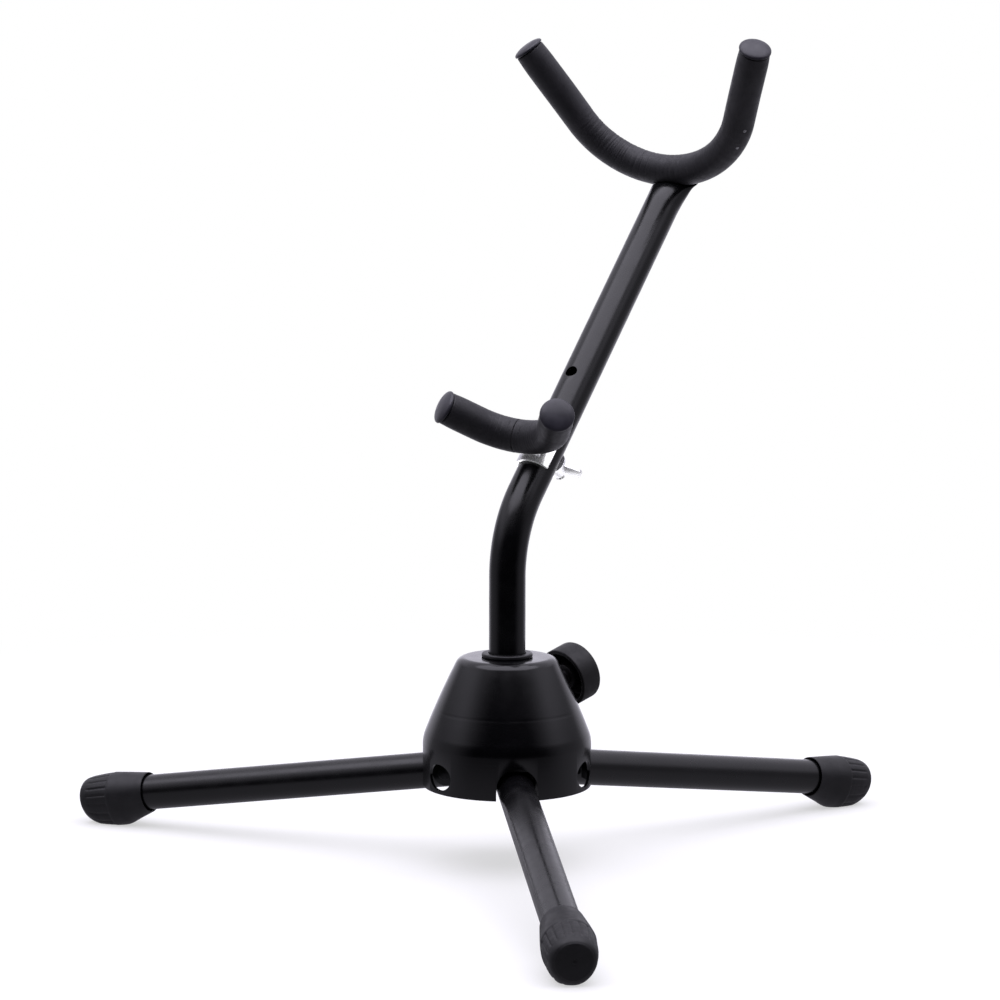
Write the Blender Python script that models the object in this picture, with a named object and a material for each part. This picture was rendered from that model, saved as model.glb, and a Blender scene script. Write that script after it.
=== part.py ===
"""Folding saxophone stand.

A spun steel hub carries three folding tube legs with rubber feet and a cranked post. The post
slides and turns in the hub and is locked by a clamp knob. Two foam-covered yokes hold the
instrument: one is welded to the post's flattened top, the other is bolted to the post with a
wing nut and can be moved to a second hole.

Metres, +Z up. The stand faces -Y: its yokes open that way and the post leans back towards +Y.
The origin is on the floor, under the middle of the stand's bounding box.
"""

import math

import bmesh
import bpy
from mathutils import Matrix, Quaternion, Vector

MM = 0.001
GAP = 0.3 * MM  # left between pieces that touch
CUT_MARGIN = 2.0 * MM  # how far a drill or cutter reaches past what it cuts

# Steel tube of the legs and the post
TUBE_RADIUS = 9.5 * MM
TUBE_WALL = 1.5 * MM
TUBE_SIDES = 24

# Legs: pivots on the leg centre lines, close to the post
LEG_AZIMUTHS = (-49.7, 70.3, 190.3)  # degrees from +X, for legs 1, 2 and 3
LEG_DROP = math.radians(9.0)
PIVOT_RADIUS = 30.0 * MM
PIVOT_HEIGHT = 47.6 * MM
LEG_TIP_DISTANCE = 222.8 * MM  # from pivot to the foot's outer end
LEG_INNER_MIDDLE = -5.5 * MM  # the inner end is cut on a slant so that it can swing up
LEG_INNER_SLANT = 9.0 / 19.0
PIN_RADIUS = 2.5 * MM
PIN_HEAD_RADIUS = 4.2 * MM
PIN_HEAD_HEIGHT = 1.6 * MM
PIN_HEAD_SHOULDER = 1.0 * MM  # from the crown down to the head's full width
PIN_HEAD_CROWN = (0.6, 0.3 * MM)  # share of the head's radius, and depth below the crown

# Brackets: inverted channels that hold the pins, and stop the legs from rising
BRACKET_INNER = 10.0 * MM
BRACKET_SHEET = 1.5 * MM
BRACKET_OUTER_END = 9.5 * MM
BRACKET_INNER_END = -20.1 * MM
BRACKET_BOTTOM = -5.6 * MM
BRACKET_EYE = 7.5 * MM
BRACKET_EYE_ARC = (math.radians(-80.0), math.radians(-15.0))
BRACKET_LIP = 2.0 * MM
BRACKET_ROOF_START = -6.0 * MM

# Rubber feet, as stations from the mouth outwards: distance, half-height above, half-width,
# half-height below the leg's centre line
FOOT_LENGTH = 39.0 * MM
FOOT_SIDES = 24
FOOT_STATIONS = (
    (0.0, 10.9, 10.9, 11.0),
    (8.0, 11.6, 11.9, 14.0),
    (15.0, 12.2, 12.7, 16.6),
    (22.0, 12.6, 13.2, 17.5),
    (29.0, 12.1, 12.8, 16.8),
    (33.5, 11.6, 12.2, 15.0),
    (36.8, 10.8, 11.3, 12.9),
    (38.3, 9.9, 10.3, 11.2),
    (39.0, 8.6, 8.9, 9.6),
)
FOOT_MOUTH_FLARE = 0.6 * MM
FOOT_FLARE_DEPTH = 3.0 * MM
FOOT_END_WALL = 6.0 * MM

# Hub: a spun sheet cone over a short skirt
SHEET = 1.5 * MM
HUB_SIDES = 48
HUB_TOP = 109.0 * MM
HUB_RIM = 41.5 * MM
HUB_RADIUS = 43.9 * MM
HUB_SHOULDER_RADIUS = 25.2 * MM
HUB_KNUCKLE = 66.9 * MM
HUB_SHOULDER_ROUND = 3.0 * MM
HUB_KNUCKLE_ROUND = 18.0 * MM
HUB_ROUND_STEPS = 3
SLOT_WIDTH = 21.5 * MM
SLOT_ARCH_HEIGHT = 47.5 * MM
WINDOW_WIDTH = 18.0 * MM
WINDOW_HEIGHT = 13.5 * MM
WINDOW_LEVEL = 50.4 * MM
WINDOW_SIDES = 20

# Sleeve and bushes that guide the post
SLEEVE_INNER = 11.6 * MM
SLEEVE_OUTER = 13.6 * MM
SLEEVE_BOTTOM = 46.0 * MM
BUSH_OUTER = SLEEVE_INNER - GAP
BUSH_INNER = TUBE_RADIUS + GAP
TOP_BUSH_BOTTOM = 97.0 * MM
TOP_BUSH_FLANGE_RADIUS = 13.25 * MM
TOP_BUSH_FLANGE = 1.8 * MM
TOP_BUSH_CHAMFER = 0.8 * MM
LOWER_BUSH_BOTTOM = 47.0 * MM
LOWER_BUSH_TOP = 57.0 * MM

# Clamp: distances are along the screw's axis, from the post's centre line
CLAMP_AZIMUTH = 77.0
CLAMP_RISE = math.radians(15.5)
CLAMP_HEIGHT = 81.2 * MM
SCREW_RADIUS = 4.0 * MM
SCREW_SLEEVE_CLEARANCE = 0.7 * MM
PAD_START = 11.2 * MM
PAD_END = 13.0 * MM
PAD_RADIUS = 3.4 * MM
SCREW_END = 50.7 * MM
NUT_START = 16.9 * MM
NUT_HEIGHT = 6.5 * MM
NUT_CORNER_RADIUS = 7.5 * MM
HUB_HOLE_SPAN = (28.0 * MM, 41.0 * MM)  # where the screw's hole crosses the cone
SLEEVE_HOLE_SPAN = (6.0 * MM, 18.0 * MM)
KNOB_RADIUS = 15.8 * MM
KNOB_START = 42.0 * MM
KNOB_END = 55.4 * MM
KNOB_WALL = 2.2 * MM
KNOB_WEB = 3.5 * MM
KNOB_BOSS_RADIUS = 7.0 * MM
KNOB_BOSS_SETBACK = 1.5 * MM
KNOB_DRAFT = 0.6 * MM
KNOB_LIP = 0.5 * MM
KNOB_CROWN = 0.3 * MM
KNOB_ROUND = 2.0 * MM
KNOB_SIDES = 28

# Post: vertical, one bend, then straight; distances up the lean are from the bend's end
POST_BOTTOM = 40.0 * MM
POST_BEND_START = 150.6 * MM
POST_BEND_RADIUS = 61.6 * MM
POST_LEAN = math.radians(43.5)
POST_BEND_STEPS = 7
# The top is pressed flat: distance up, half-width, half-thickness, forward offset
POST_FLATTENING = (
    (196.0, 9.5, 9.5, 0.0),
    (203.0, 10.2, 8.7, -0.2),
    (209.0, 11.4, 7.2, -0.6),
    (212.0, 12.4, 4.9, -0.9),
    (214.0, 13.2, 2.7, -1.5),
    (216.0, 13.8, 1.8, -2.3),
    (217.5, 14.0, 1.7, -2.54),
    (226.0, 14.0, 1.7, -2.54),
)
HOLE_RADIUS = 3.3 * MM
HOLE_LOWER = 27.5 * MM
HOLE_UPPER = 73.9 * MM
HOLE_DRILL_REACH = 14.0 * MM

# Yokes: steel rods of tube in foam sleeves, with domed end caps
YOKE_TUBE_RADIUS = 6.0 * MM
YOKE_TUBE_WALL = 1.5 * MM
YOKE_SIDES = 12
FOAM_SIDES = 16
UPPER_YOKE_STEPS = 12
LOWER_YOKE_STEPS = 10
UPPER_YOKE = {
    "up_post": 219.0 * MM,
    "forward": 5.48 * MM,
    "tilt": math.radians(28.0),
    "radius": 55.7 * MM,
    "half_angle": math.radians(64.15),
    "arm": 47.4 * MM,
    "foam_radius": 8.6 * MM,
}
LOWER_YOKE = {
    "up_post": 22.1 * MM,
    "forward": 18.8 * MM,
    "tilt": math.radians(58.4),
    "radius": 27.6 * MM,
    "half_angle": math.radians(56.8),
    "arm": 20.1 * MM,
    "foam_radius": 8.9 * MM,
}
LOWER_FOAM_SEAM = -5.5 * MM
CAP_PLUG_DEPTH = 8.0 * MM
CAP_HEIGHT = 3.2 * MM
CAP_EDGE = 0.8 * MM

# Saddle bracket, its stud, washer and wing nut
SADDLE_INNER = TUBE_RADIUS + GAP
SADDLE_OUTER = 11.3 * MM
SADDLE_START = 13.2 * MM
SADDLE_END = 32.0 * MM
SADDLE_HALF_ANGLE = math.radians(65.0)
SADDLE_STEPS = 16
WELD_SINK = 0.7 * MM  # how deep the weld sits in the saddle's wall
WELD_HALF_WIDTH = 6.0 * MM
WELD_HALF_HEIGHT = 5.0 * MM
SLIT_HALF_WIDTH = 7.5 * MM
SLIT_HALF_HEIGHT = 7.4 * MM
SLIT_BACK = 8.0 * MM
STUD_RADIUS = 3.0 * MM
STUD_FRONT = 11.1 * MM
STUD_BACK = 21.5 * MM
STUD_CHAMFER = 0.5 * MM
WASHER_RADIUS = 7.0 * MM
WASHER_THICKNESS = 1.2 * MM
WING_TURN = math.radians(-12.0)
WING_HUB_RADIUS = 5.2 * MM
WING_HUB_HEIGHT = 7.0 * MM
WING_HUB_TAPER = 0.9 * MM
WING_SHEET = 1.8 * MM
WING_SPAN = 12.5 * MM
WING_TIP_RADIUS = 3.2 * MM
WING_TIP_RISE = 1.6 * MM  # from the hub's top to the middle of the tip's arc
WING_TIP_ARC = (math.radians(-50.0), math.radians(150.0))
WING_ROOT = 3.6 * MM
WING_ROOT_INSETS = (1.2 * MM, 1.0 * MM)  # from the hub's seat and from its top
WING_ELBOW = (6.0 * MM, 1.4 * MM)  # out from the axis, and up from the seat

POST_UP = Vector((0.0, math.sin(POST_LEAN), math.cos(POST_LEAN)))
POST_FORWARD = Vector((0.0, -math.cos(POST_LEAN), math.sin(POST_LEAN)))
RIGHT = Vector((1.0, 0.0, 0.0))
BEND_END = Vector((
    0.0,
    POST_BEND_RADIUS * (1.0 - math.cos(POST_LEAN)),
    POST_BEND_START + POST_BEND_RADIUS * math.sin(POST_LEAN),
))

FINISHES = {
    "powder_coat": ((0.020, 0.020, 0.022), 0.42, 0.0),
    "foam": ((0.030, 0.030, 0.033), 0.85, 0.0),
    "rubber": ((0.030, 0.030, 0.032), 0.70, 0.0),
    "black_plastic": ((0.022, 0.022, 0.024), 0.55, 0.0),
    "cap_plastic": ((0.045, 0.045, 0.052), 0.50, 0.0),
    "nylon": ((0.750, 0.740, 0.700), 0.50, 0.0),
    "zinc": ((0.780, 0.790, 0.800), 0.28, 1.0),
    "black_steel": ((0.030, 0.030, 0.033), 0.45, 1.0),
}


def clear_scene():
    for item in list(bpy.data.objects):
        bpy.data.objects.remove(item, do_unlink=True)


def material_for(node, finish):
    """Each node has a material of its own, in one of the stand's finishes."""
    color, roughness, metallic = FINISHES[finish]
    material = bpy.data.materials.new(node)
    material.use_nodes = True
    shader = material.node_tree.nodes["Principled BSDF"]
    shader.inputs["Base Color"].default_value = (*color, 1.0)
    shader.inputs["Roughness"].default_value = roughness
    shader.inputs["Metallic"].default_value = metallic
    return material


def frame_at(name, parent, place, rotation):
    """An empty on a joint's axis, which the pieces that share that axis are parented to."""
    empty = bpy.data.objects.new(name, None)
    empty.empty_display_size = 0.01
    empty.parent = parent
    empty.location = place
    empty.rotation_mode = "QUATERNION"
    empty.rotation_quaternion = rotation
    bpy.context.collection.objects.link(empty)
    return empty


def make_piece(name, bm, parent, finish, sharp_degrees=35.0):
    """Turns a closed bmesh into a node, with its faces pointing out."""
    bmesh.ops.recalc_face_normals(bm, faces=bm.faces)
    mesh = bpy.data.meshes.new(name)
    bm.to_mesh(mesh)
    bm.free()
    mesh.shade_smooth()
    mesh.set_sharp_from_angle(angle=math.radians(sharp_degrees))
    piece = bpy.data.objects.new(name, mesh)
    piece.parent = parent
    bpy.context.collection.objects.link(piece)
    if finish is not None:
        mesh.materials.append(material_for(name, finish))
    return piece


def make_tool(name, bm, parent):
    """A shape that only cuts or joins, and is not part of the stand."""
    tool = make_piece(name, bm, parent, None)
    tool.hide_render = True
    tool.display_type = "WIRE"
    return tool


def combine(piece, tool, operation):
    step = piece.modifiers.new(tool.name, "BOOLEAN")
    step.operation = operation
    step.solver = "EXACT"
    step.object = tool


def carve(piece, *tools):
    for tool in tools:
        combine(piece, tool, "DIFFERENCE")


def loft(rings, closed=False):
    """Skins rings of equal count. Closed, the last joins the first; open, both ends are capped."""
    bm = bmesh.new()
    loops = [[bm.verts.new(point) for point in ring] for ring in rings]
    pairs = list(zip(loops, loops[1:]))
    if closed:
        pairs.append((loops[-1], loops[0]))
    for lower, upper in pairs:
        for i in range(len(lower)):
            j = (i + 1) % len(lower)
            bm.faces.new((lower[i], lower[j], upper[j], upper[i]))
    if not closed:
        bm.faces.new(loops[0])
        bm.faces.new(loops[-1])
    return bm


def turned(profile, sides):
    """Spins (radius, height) points about Z. A profile off the axis is a closed loop."""
    bm = bmesh.new()
    verts = [bm.verts.new((radius, 0.0, height)) for radius, height in profile]
    pairs = list(zip(verts, verts[1:]))
    if profile[0][0] > 0.0:
        pairs.append((verts[-1], verts[0]))
    edges = [bm.edges.new(pair) for pair in pairs]
    bmesh.ops.spin(
        bm, geom=verts + edges, cent=(0.0, 0.0, 0.0), axis=(0.0, 0.0, 1.0),
        angle=2.0 * math.pi, steps=sides, use_merge=True,
    )
    bmesh.ops.remove_doubles(bm, verts=bm.verts, dist=1e-7)
    return bm


def rod(radius, start, end, sides=20):
    """A plain round bar along Z, also used as a drill."""
    return turned([(0.0, start), (radius, start), (radius, end), (0.0, end)], sides)


def extruded(outline, near, far, place):
    """Extrudes a flat outline; place(u, v, w) puts its points in space."""
    return loft([[place(u, v, w) for u, v in outline] for w in (near, far)])


def arc(center, radius, start, end, steps):
    """Points on an arc in a plane, both ends included."""
    angles = [start + (end - start) * i / steps for i in range(steps + 1)]
    return [(center[0] + radius * math.cos(a), center[1] + radius * math.sin(a)) for a in angles]


def oval(center, across, up, half_width, half_height, sides, half_below=None):
    """A ring of points; half_below gives its lower half a depth of its own."""
    points = []
    for i in range(sides):
        angle = 2.0 * math.pi * i / sides
        rise = math.sin(angle)
        depth = half_below if half_below is not None and rise < 0.0 else half_height
        points.append(center + across * (half_width * math.cos(angle)) + up * (depth * rise))
    return points


def rounded_corner(before, corner, after, radius, steps):
    """The arc that rounds a corner of a profile."""
    corner = Vector(corner)
    incoming = (corner - Vector(before)).normalized()
    outgoing = (Vector(after) - corner).normalized()
    turn = incoming.angle(outgoing)
    reach = radius * math.tan(turn / 2.0)
    start = corner - incoming * reach
    inward = (outgoing - incoming * incoming.dot(outgoing)).normalized()
    points = []
    for i in range(steps + 1):
        angle = turn * i / steps
        points.append(start + incoming * (radius * math.sin(angle))
                      + inward * (radius * (1.0 - math.cos(angle))))
    return [tuple(point) for point in points]


def axis_turn(azimuth_degrees):
    return Quaternion((0.0, 0.0, 1.0), math.radians(azimuth_degrees))


# ---------------------------------------------------------------- hub

def hub_wall(inset):
    """One face of the hub's sheet as a profile, from the top hole down to the rim."""
    cone_run = HUB_RADIUS - HUB_SHOULDER_RADIUS
    cone_fall = HUB_TOP - HUB_KNUCKLE
    half_cone = math.atan2(cone_run, cone_fall)
    top = HUB_TOP - inset
    radius = HUB_RADIUS - inset
    # Where the inset cone meets the inset top and the inset skirt
    shoulder = HUB_SHOULDER_RADIUS - inset * (1.0 - math.sin(half_cone)) / math.cos(half_cone)
    knuckle = HUB_KNUCKLE - inset * (1.0 - math.cos(half_cone)) / math.sin(half_cone)
    hole = (SLEEVE_INNER, top)
    rim = (radius, HUB_RIM)
    corner_1 = (shoulder, top)
    corner_2 = (radius, knuckle)
    return (
        [hole]
        + rounded_corner(hole, corner_1, corner_2, HUB_SHOULDER_ROUND - inset, HUB_ROUND_STEPS)
        + rounded_corner(corner_1, corner_2, rim, HUB_KNUCKLE_ROUND - inset, HUB_ROUND_STEPS)
        + [rim]
    )


def hub_shell(root, clamp_axis):
    profile = hub_wall(0.0) + hub_wall(SHEET)[::-1]
    shell = make_piece("hub_shell", turned(profile, HUB_SIDES), root, "powder_coat", 30.0)
    # The skirt's wall bows inwards across a cutter's width, so cutters start well inside it
    bow = SLOT_WIDTH / 3.0
    reach = (HUB_RADIUS - bow, HUB_RADIUS + CUT_MARGIN)
    half = SLOT_WIDTH / 2.0
    arch = arc((0.0, SLOT_ARCH_HEIGHT), half, 0.0, math.pi, 12)
    arch += [(-half, HUB_RIM - CUT_MARGIN), (half, HUB_RIM - CUT_MARGIN)]
    window = [
        (WINDOW_WIDTH / 2.0 * math.cos(a), WINDOW_LEVEL + WINDOW_HEIGHT / 2.0 * math.sin(a))
        for a in (2.0 * math.pi * i / WINDOW_SIDES for i in range(WINDOW_SIDES))
    ]
    for number, azimuth in enumerate(LEG_AZIMUTHS, 1):
        for kind, outline, turn in (("slot", arch, azimuth), ("window", window, azimuth + 60.0)):
            spin = axis_turn(turn)
            bm = extruded(outline, *reach, lambda u, v, w: spin @ Vector((w, u, v)))
            carve(shell, make_tool(f"cut_{kind}_{number}", bm, root))
    drill = make_tool("cut_hub_screw", rod(SCREW_RADIUS + GAP, *HUB_HOLE_SPAN), clamp_axis)
    carve(shell, drill)


def post_guides(root, clamp_axis):
    top = HUB_TOP - SHEET - GAP
    profile = [
        (SLEEVE_INNER, top), (SLEEVE_OUTER, top),
        (SLEEVE_OUTER, SLEEVE_BOTTOM), (SLEEVE_INNER, SLEEVE_BOTTOM),
    ]
    sleeve = make_piece("post_sleeve", turned(profile, TUBE_SIDES), root, "powder_coat")
    drill = rod(SCREW_RADIUS + SCREW_SLEEVE_CLEARANCE, *SLEEVE_HOLE_SPAN)
    carve(sleeve, make_tool("cut_sleeve", drill, clamp_axis))

    profile = [
        (BUSH_INNER, LOWER_BUSH_TOP), (BUSH_OUTER, LOWER_BUSH_TOP),
        (BUSH_OUTER, LOWER_BUSH_BOTTOM), (BUSH_INNER, LOWER_BUSH_BOTTOM),
    ]
    make_piece("lower_guide_bush", turned(profile, TUBE_SIDES), root, "black_plastic")

    seat = HUB_TOP + GAP
    lip = seat + TOP_BUSH_FLANGE
    profile = [
        (BUSH_INNER, lip), (TOP_BUSH_FLANGE_RADIUS - TOP_BUSH_CHAMFER, lip),
        (TOP_BUSH_FLANGE_RADIUS, lip - TOP_BUSH_CHAMFER), (TOP_BUSH_FLANGE_RADIUS, seat),
        (BUSH_OUTER, seat), (BUSH_OUTER, TOP_BUSH_BOTTOM), (BUSH_INNER, TOP_BUSH_BOTTOM),
    ]
    make_piece("top_bushing", turned(profile, TUBE_SIDES), root, "black_plastic")


# ---------------------------------------------------------------- legs

def pin_drill(name, axis):
    reach = BRACKET_INNER + BRACKET_SHEET + CUT_MARGIN
    bm = rod(PIN_RADIUS + GAP, -reach, reach, 16)
    bmesh.ops.rotate(bm, verts=bm.verts, matrix=Matrix.Rotation(math.pi / 2.0, 3, "X"))
    return make_tool(name, bm, axis)


def leg_bracket(number, pivot, azimuth, root):
    """An inverted channel: two ears for the pin, and a roof that the raised leg bears on."""
    axis = frame_at(f"bracket_axis_{number}", root, pivot, axis_turn(azimuth))
    slope = math.tan(LEG_DROP)
    clear = (TUBE_RADIUS + GAP) / math.cos(LEG_DROP)
    roof = clear + BRACKET_SHEET
    outer = BRACKET_OUTER_END
    start = BRACKET_ROOF_START
    ears = [(BRACKET_INNER_END, BRACKET_BOTTOM)]
    ears += arc((0.0, 0.0), BRACKET_EYE, *BRACKET_EYE_ARC, 5)
    ears += [
        (outer, BRACKET_LIP), (outer, roof - slope * outer), (start, roof - slope * start),
        (BRACKET_INNER_END, roof - slope * start),
    ]
    half = BRACKET_INNER + BRACKET_SHEET
    bm = extruded(ears, -half, half, lambda u, v, w: Vector((u, w, v)))
    bracket = make_piece(f"leg_bracket_{number}", bm, axis, "powder_coat", 20.0)
    far = TUBE_RADIUS * 4.0  # anywhere outside the bracket
    channel = [
        (-far, -far), (far, -far), (far, clear - slope * far),
        (start, clear - slope * start), (start, far), (-far, far),
    ]
    bm = extruded(channel, -BRACKET_INNER, BRACKET_INNER, lambda u, v, w: Vector((u, w, v)))
    carve(bracket, make_tool(f"cut_channel_{number}", bm, axis), pin_drill(f"cut_eye_{number}", axis))


def leg_pin(number, axis):
    reach = BRACKET_INNER + BRACKET_SHEET + GAP
    crown = reach + PIN_HEAD_HEIGHT
    edge = PIN_HEAD_RADIUS
    share, drop = PIN_HEAD_CROWN
    half = [
        (PIN_RADIUS, reach), (edge, reach), (edge, crown - PIN_HEAD_SHOULDER),
        (edge * share, crown - drop), (0.0, crown),
    ]
    profile = [(radius, -height) for radius, height in half[::-1]] + half
    bm = turned(profile, 16)
    bmesh.ops.rotate(bm, verts=bm.verts, matrix=Matrix.Rotation(math.pi / 2.0, 3, "X"))
    make_piece(f"leg_pin_{number}", bm, axis, "black_steel")


def leg_tube(number, axis):
    """Centre line along X. The inner end is slanted: long below, short above."""
    end = LEG_TIP_DISTANCE - FOOT_END_WALL

    def ring(x, slant, radius):
        flat = oval(Vector((x, 0.0, 0.0)), Vector((0.0, 1.0, 0.0)), Vector((0.0, 0.0, 1.0)),
                    radius, radius, TUBE_SIDES)
        return [point + Vector((slant * point.z, 0.0, 0.0)) for point in flat]

    bore = TUBE_RADIUS - TUBE_WALL
    rings = [
        ring(LEG_INNER_MIDDLE, LEG_INNER_SLANT, TUBE_RADIUS), ring(end, 0.0, TUBE_RADIUS),
        ring(end, 0.0, bore), ring(LEG_INNER_MIDDLE, LEG_INNER_SLANT, bore),
    ]
    tube = make_piece(f"leg_tube_{number}", loft(rings, closed=True), axis, "powder_coat")
    carve(tube, pin_drill(f"cut_leg_{number}", axis))


def rubber_foot(number, axis):
    """A deep cap, bulged below and flat where it stands on the floor."""
    mouth = LEG_TIP_DISTANCE - FOOT_LENGTH
    bottom = LEG_TIP_DISTANCE - FOOT_END_WALL + GAP
    bore = TUBE_RADIUS + GAP
    across, up = Vector((0.0, 1.0, 0.0)), Vector((0.0, 0.0, 1.0))

    def ring(x, above, side, below):
        return oval(Vector((x, 0.0, 0.0)), across, up, side, above, FOOT_SIDES, below)

    rings = [ring(bottom, bore, bore, bore), ring(mouth + FOOT_FLARE_DEPTH, bore, bore, bore)]
    flare = bore + FOOT_MOUTH_FLARE
    rings.append(ring(mouth, flare, flare, flare))
    for distance, above, side, below in FOOT_STATIONS:
        rings.append(ring(mouth + distance * MM, above * MM, side * MM, below * MM))
    bm = loft(rings)
    bmesh.ops.triangulate(bm, faces=bm.faces)
    # The floor, seen from the leg's own tilted frame
    floor_up = Vector((-math.sin(LEG_DROP), 0.0, math.cos(LEG_DROP)))
    cut = bmesh.ops.bisect_plane(
        bm, geom=bm.verts[:] + bm.edges[:] + bm.faces[:], dist=1e-7,
        plane_co=-floor_up * PIVOT_HEIGHT, plane_no=floor_up, clear_inner=True,
    )
    rim = [item for item in cut["geom_cut"] if isinstance(item, bmesh.types.BMEdge)]
    bmesh.ops.contextual_create(bm, geom=rim)
    make_piece(f"rubber_foot_{number}", bm, axis, "rubber", 40.0)


def legs(root):
    for number, azimuth in enumerate(LEG_AZIMUTHS, 1):
        spin = axis_turn(azimuth)
        pivot = spin @ Vector((PIVOT_RADIUS, 0.0, 0.0)) + Vector((0.0, 0.0, PIVOT_HEIGHT))
        tilt = spin @ Quaternion((0.0, 1.0, 0.0), LEG_DROP)
        axis = frame_at(f"leg_axis_{number}", root, pivot, tilt)
        leg_bracket(number, pivot, azimuth, root)
        leg_pin(number, axis)
        leg_tube(number, axis)
        rubber_foot(number, axis)


# ---------------------------------------------------------------- clamp

def clamp(axis):
    make_piece("clamp_pad", rod(PAD_RADIUS, PAD_START, PAD_END, 16), axis, "nylon")
    make_piece("clamp_screw", rod(SCREW_RADIUS, PAD_END + GAP, SCREW_END, 20), axis,
               "black_steel")

    nut = make_piece("clamp_nut", rod(NUT_CORNER_RADIUS, NUT_START, NUT_START + NUT_HEIGHT, 6),
                     axis, "zinc", 20.0)
    nut_end = NUT_START + NUT_HEIGHT
    drill = rod(SCREW_RADIUS + GAP, NUT_START - CUT_MARGIN, nut_end + CUT_MARGIN)
    carve(nut, make_tool("cut_nut", drill, axis))

    bore = SCREW_RADIUS + GAP
    web = KNOB_END - KNOB_WEB
    boss = KNOB_START + KNOB_BOSS_SETBACK
    lip = KNOB_RADIUS - KNOB_WALL
    profile = [
        (0.0, SCREW_END + GAP), (bore, SCREW_END + GAP), (bore, boss), (KNOB_BOSS_RADIUS, boss),
        (KNOB_BOSS_RADIUS, web), (lip - KNOB_DRAFT, web), (lip, KNOB_START + KNOB_LIP),
        (lip + KNOB_LIP, KNOB_START), (KNOB_RADIUS - KNOB_LIP, KNOB_START),
        (KNOB_RADIUS, KNOB_START + KNOB_LIP),
    ]
    profile += arc((KNOB_RADIUS - KNOB_ROUND, KNOB_END - KNOB_ROUND), KNOB_ROUND,
                   0.0, math.pi / 2.0, 4)
    profile.append((0.0, KNOB_END + KNOB_CROWN))
    make_piece("clamp_knob", turned(profile, KNOB_SIDES), axis, "black_plastic")


# ---------------------------------------------------------------- post

def on_post(up, forward, across=0.0):
    """A point by its distance up the leaning run, forward of it and to the right."""
    return BEND_END + POST_UP * up + POST_FORWARD * forward + RIGHT * across


def post_stations(extra=0.0):
    """Centre, forward direction, half-width and half-thickness of the post, bottom to top."""
    straight = TUBE_RADIUS + extra
    up, ahead = Vector((0.0, 0.0, 1.0)), Vector((0.0, -1.0, 0.0))
    stations = [(up * POST_BOTTOM, ahead, straight, straight)]
    for i in range(POST_BEND_STEPS + 1):
        angle = POST_LEAN * i / POST_BEND_STEPS
        center = Vector((
            0.0,
            POST_BEND_RADIUS * (1.0 - math.cos(angle)),
            POST_BEND_START + POST_BEND_RADIUS * math.sin(angle),
        ))
        forward = Vector((0.0, -math.cos(angle), math.sin(angle)))
        stations.append((center, forward, straight, straight))
    for distance, width, thickness, forward in POST_FLATTENING:
        center = on_post(distance * MM, forward * MM)
        stations.append((center, POST_FORWARD, width * MM + extra, thickness * MM + extra))
    return stations


def post_rings(stations, inset=0.0):
    return [
        oval(center, RIGHT, forward, width - inset, thickness - inset, TUBE_SIDES)
        for center, forward, width, thickness in stations
    ]


def post_tube(root, stud_axis):
    stations = post_stations()
    bm = loft(post_rings(stations) + post_rings(stations, TUBE_WALL)[::-1], closed=True)
    post = make_piece("post_tube", bm, root, "powder_coat")
    for name, up in (("lower", 0.0), ("upper", HOLE_UPPER - HOLE_LOWER)):
        bm = rod(HOLE_RADIUS, -HOLE_DRILL_REACH, HOLE_DRILL_REACH)
        bmesh.ops.translate(bm, verts=bm.verts, vec=(0.0, -up, 0.0))
        carve(post, make_tool(f"cut_{name}_hole", bm, stud_axis))


# ---------------------------------------------------------------- yokes

def yoke_frame(yoke):
    """The middle of the yoke's bottom, and the direction that its arms rise in."""
    bottom = on_post(yoke["up_post"], yoke["forward"])
    rise = Vector((0.0, -math.sin(yoke["tilt"]), math.cos(yoke["tilt"])))
    return bottom, rise


def yoke_point(yoke, angle, along=0.0):
    """A point on the yoke's centre line and its direction of travel, left to right."""
    bottom, rise = yoke_frame(yoke)
    radius = yoke["radius"]
    travel = RIGHT * math.cos(angle) + rise * math.sin(angle)
    point = bottom + RIGHT * (radius * math.sin(angle)) + rise * (radius * (1.0 - math.cos(angle)))
    return point + travel * along, travel


def yoke_tip(yoke, side, extra=0.0):
    """The end of an arm and the direction that it points in; side is -1 left, 1 right."""
    point, travel = yoke_point(yoke, side * yoke["half_angle"], side * (yoke["arm"] + extra))
    return point, travel * side


def yoke_sleeve(yoke, outer, inner, sides, start, end, steps):
    """A hollow sleeve on the yoke's arc from start to end, with each arm that it reaches."""
    half = yoke["half_angle"]
    places = [yoke_point(yoke, start + (end - start) * i / steps) for i in range(steps + 1)]
    if start <= -half:
        places.insert(0, yoke_point(yoke, -half, -yoke["arm"]))
    if end >= half:
        places.append(yoke_point(yoke, half, yoke["arm"]))
    normal = RIGHT.cross(yoke_frame(yoke)[1])

    def rings(radius):
        return [
            oval(point, travel.cross(normal), normal, radius, radius, sides)
            for point, travel in places
        ]

    return loft(rings(outer) + rings(inner)[::-1], closed=True)


def end_cap(name, yoke, side, root):
    point, direction = yoke_tip(yoke, side)
    axis = frame_at(f"{name}_axis", root, point, direction.to_track_quat("Z", "Y"))
    plug = YOKE_TUBE_RADIUS - YOKE_TUBE_WALL - GAP
    brim = yoke["foam_radius"] + 0.1 * MM
    profile = [
        (0.0, -CAP_PLUG_DEPTH), (plug, -CAP_PLUG_DEPTH), (plug, GAP), (brim, GAP),
        (brim, GAP + CAP_EDGE),
    ]
    dome = CAP_HEIGHT - CAP_EDGE
    for i in range(1, 4):
        angle = math.pi / 2.0 * i / 4
        profile.append((brim * math.cos(angle), GAP + CAP_EDGE + dome * math.sin(angle)))
    profile.append((0.0, GAP + CAP_HEIGHT))
    make_piece(name, turned(profile, FOAM_SIDES), axis, "cap_plastic")


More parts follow.
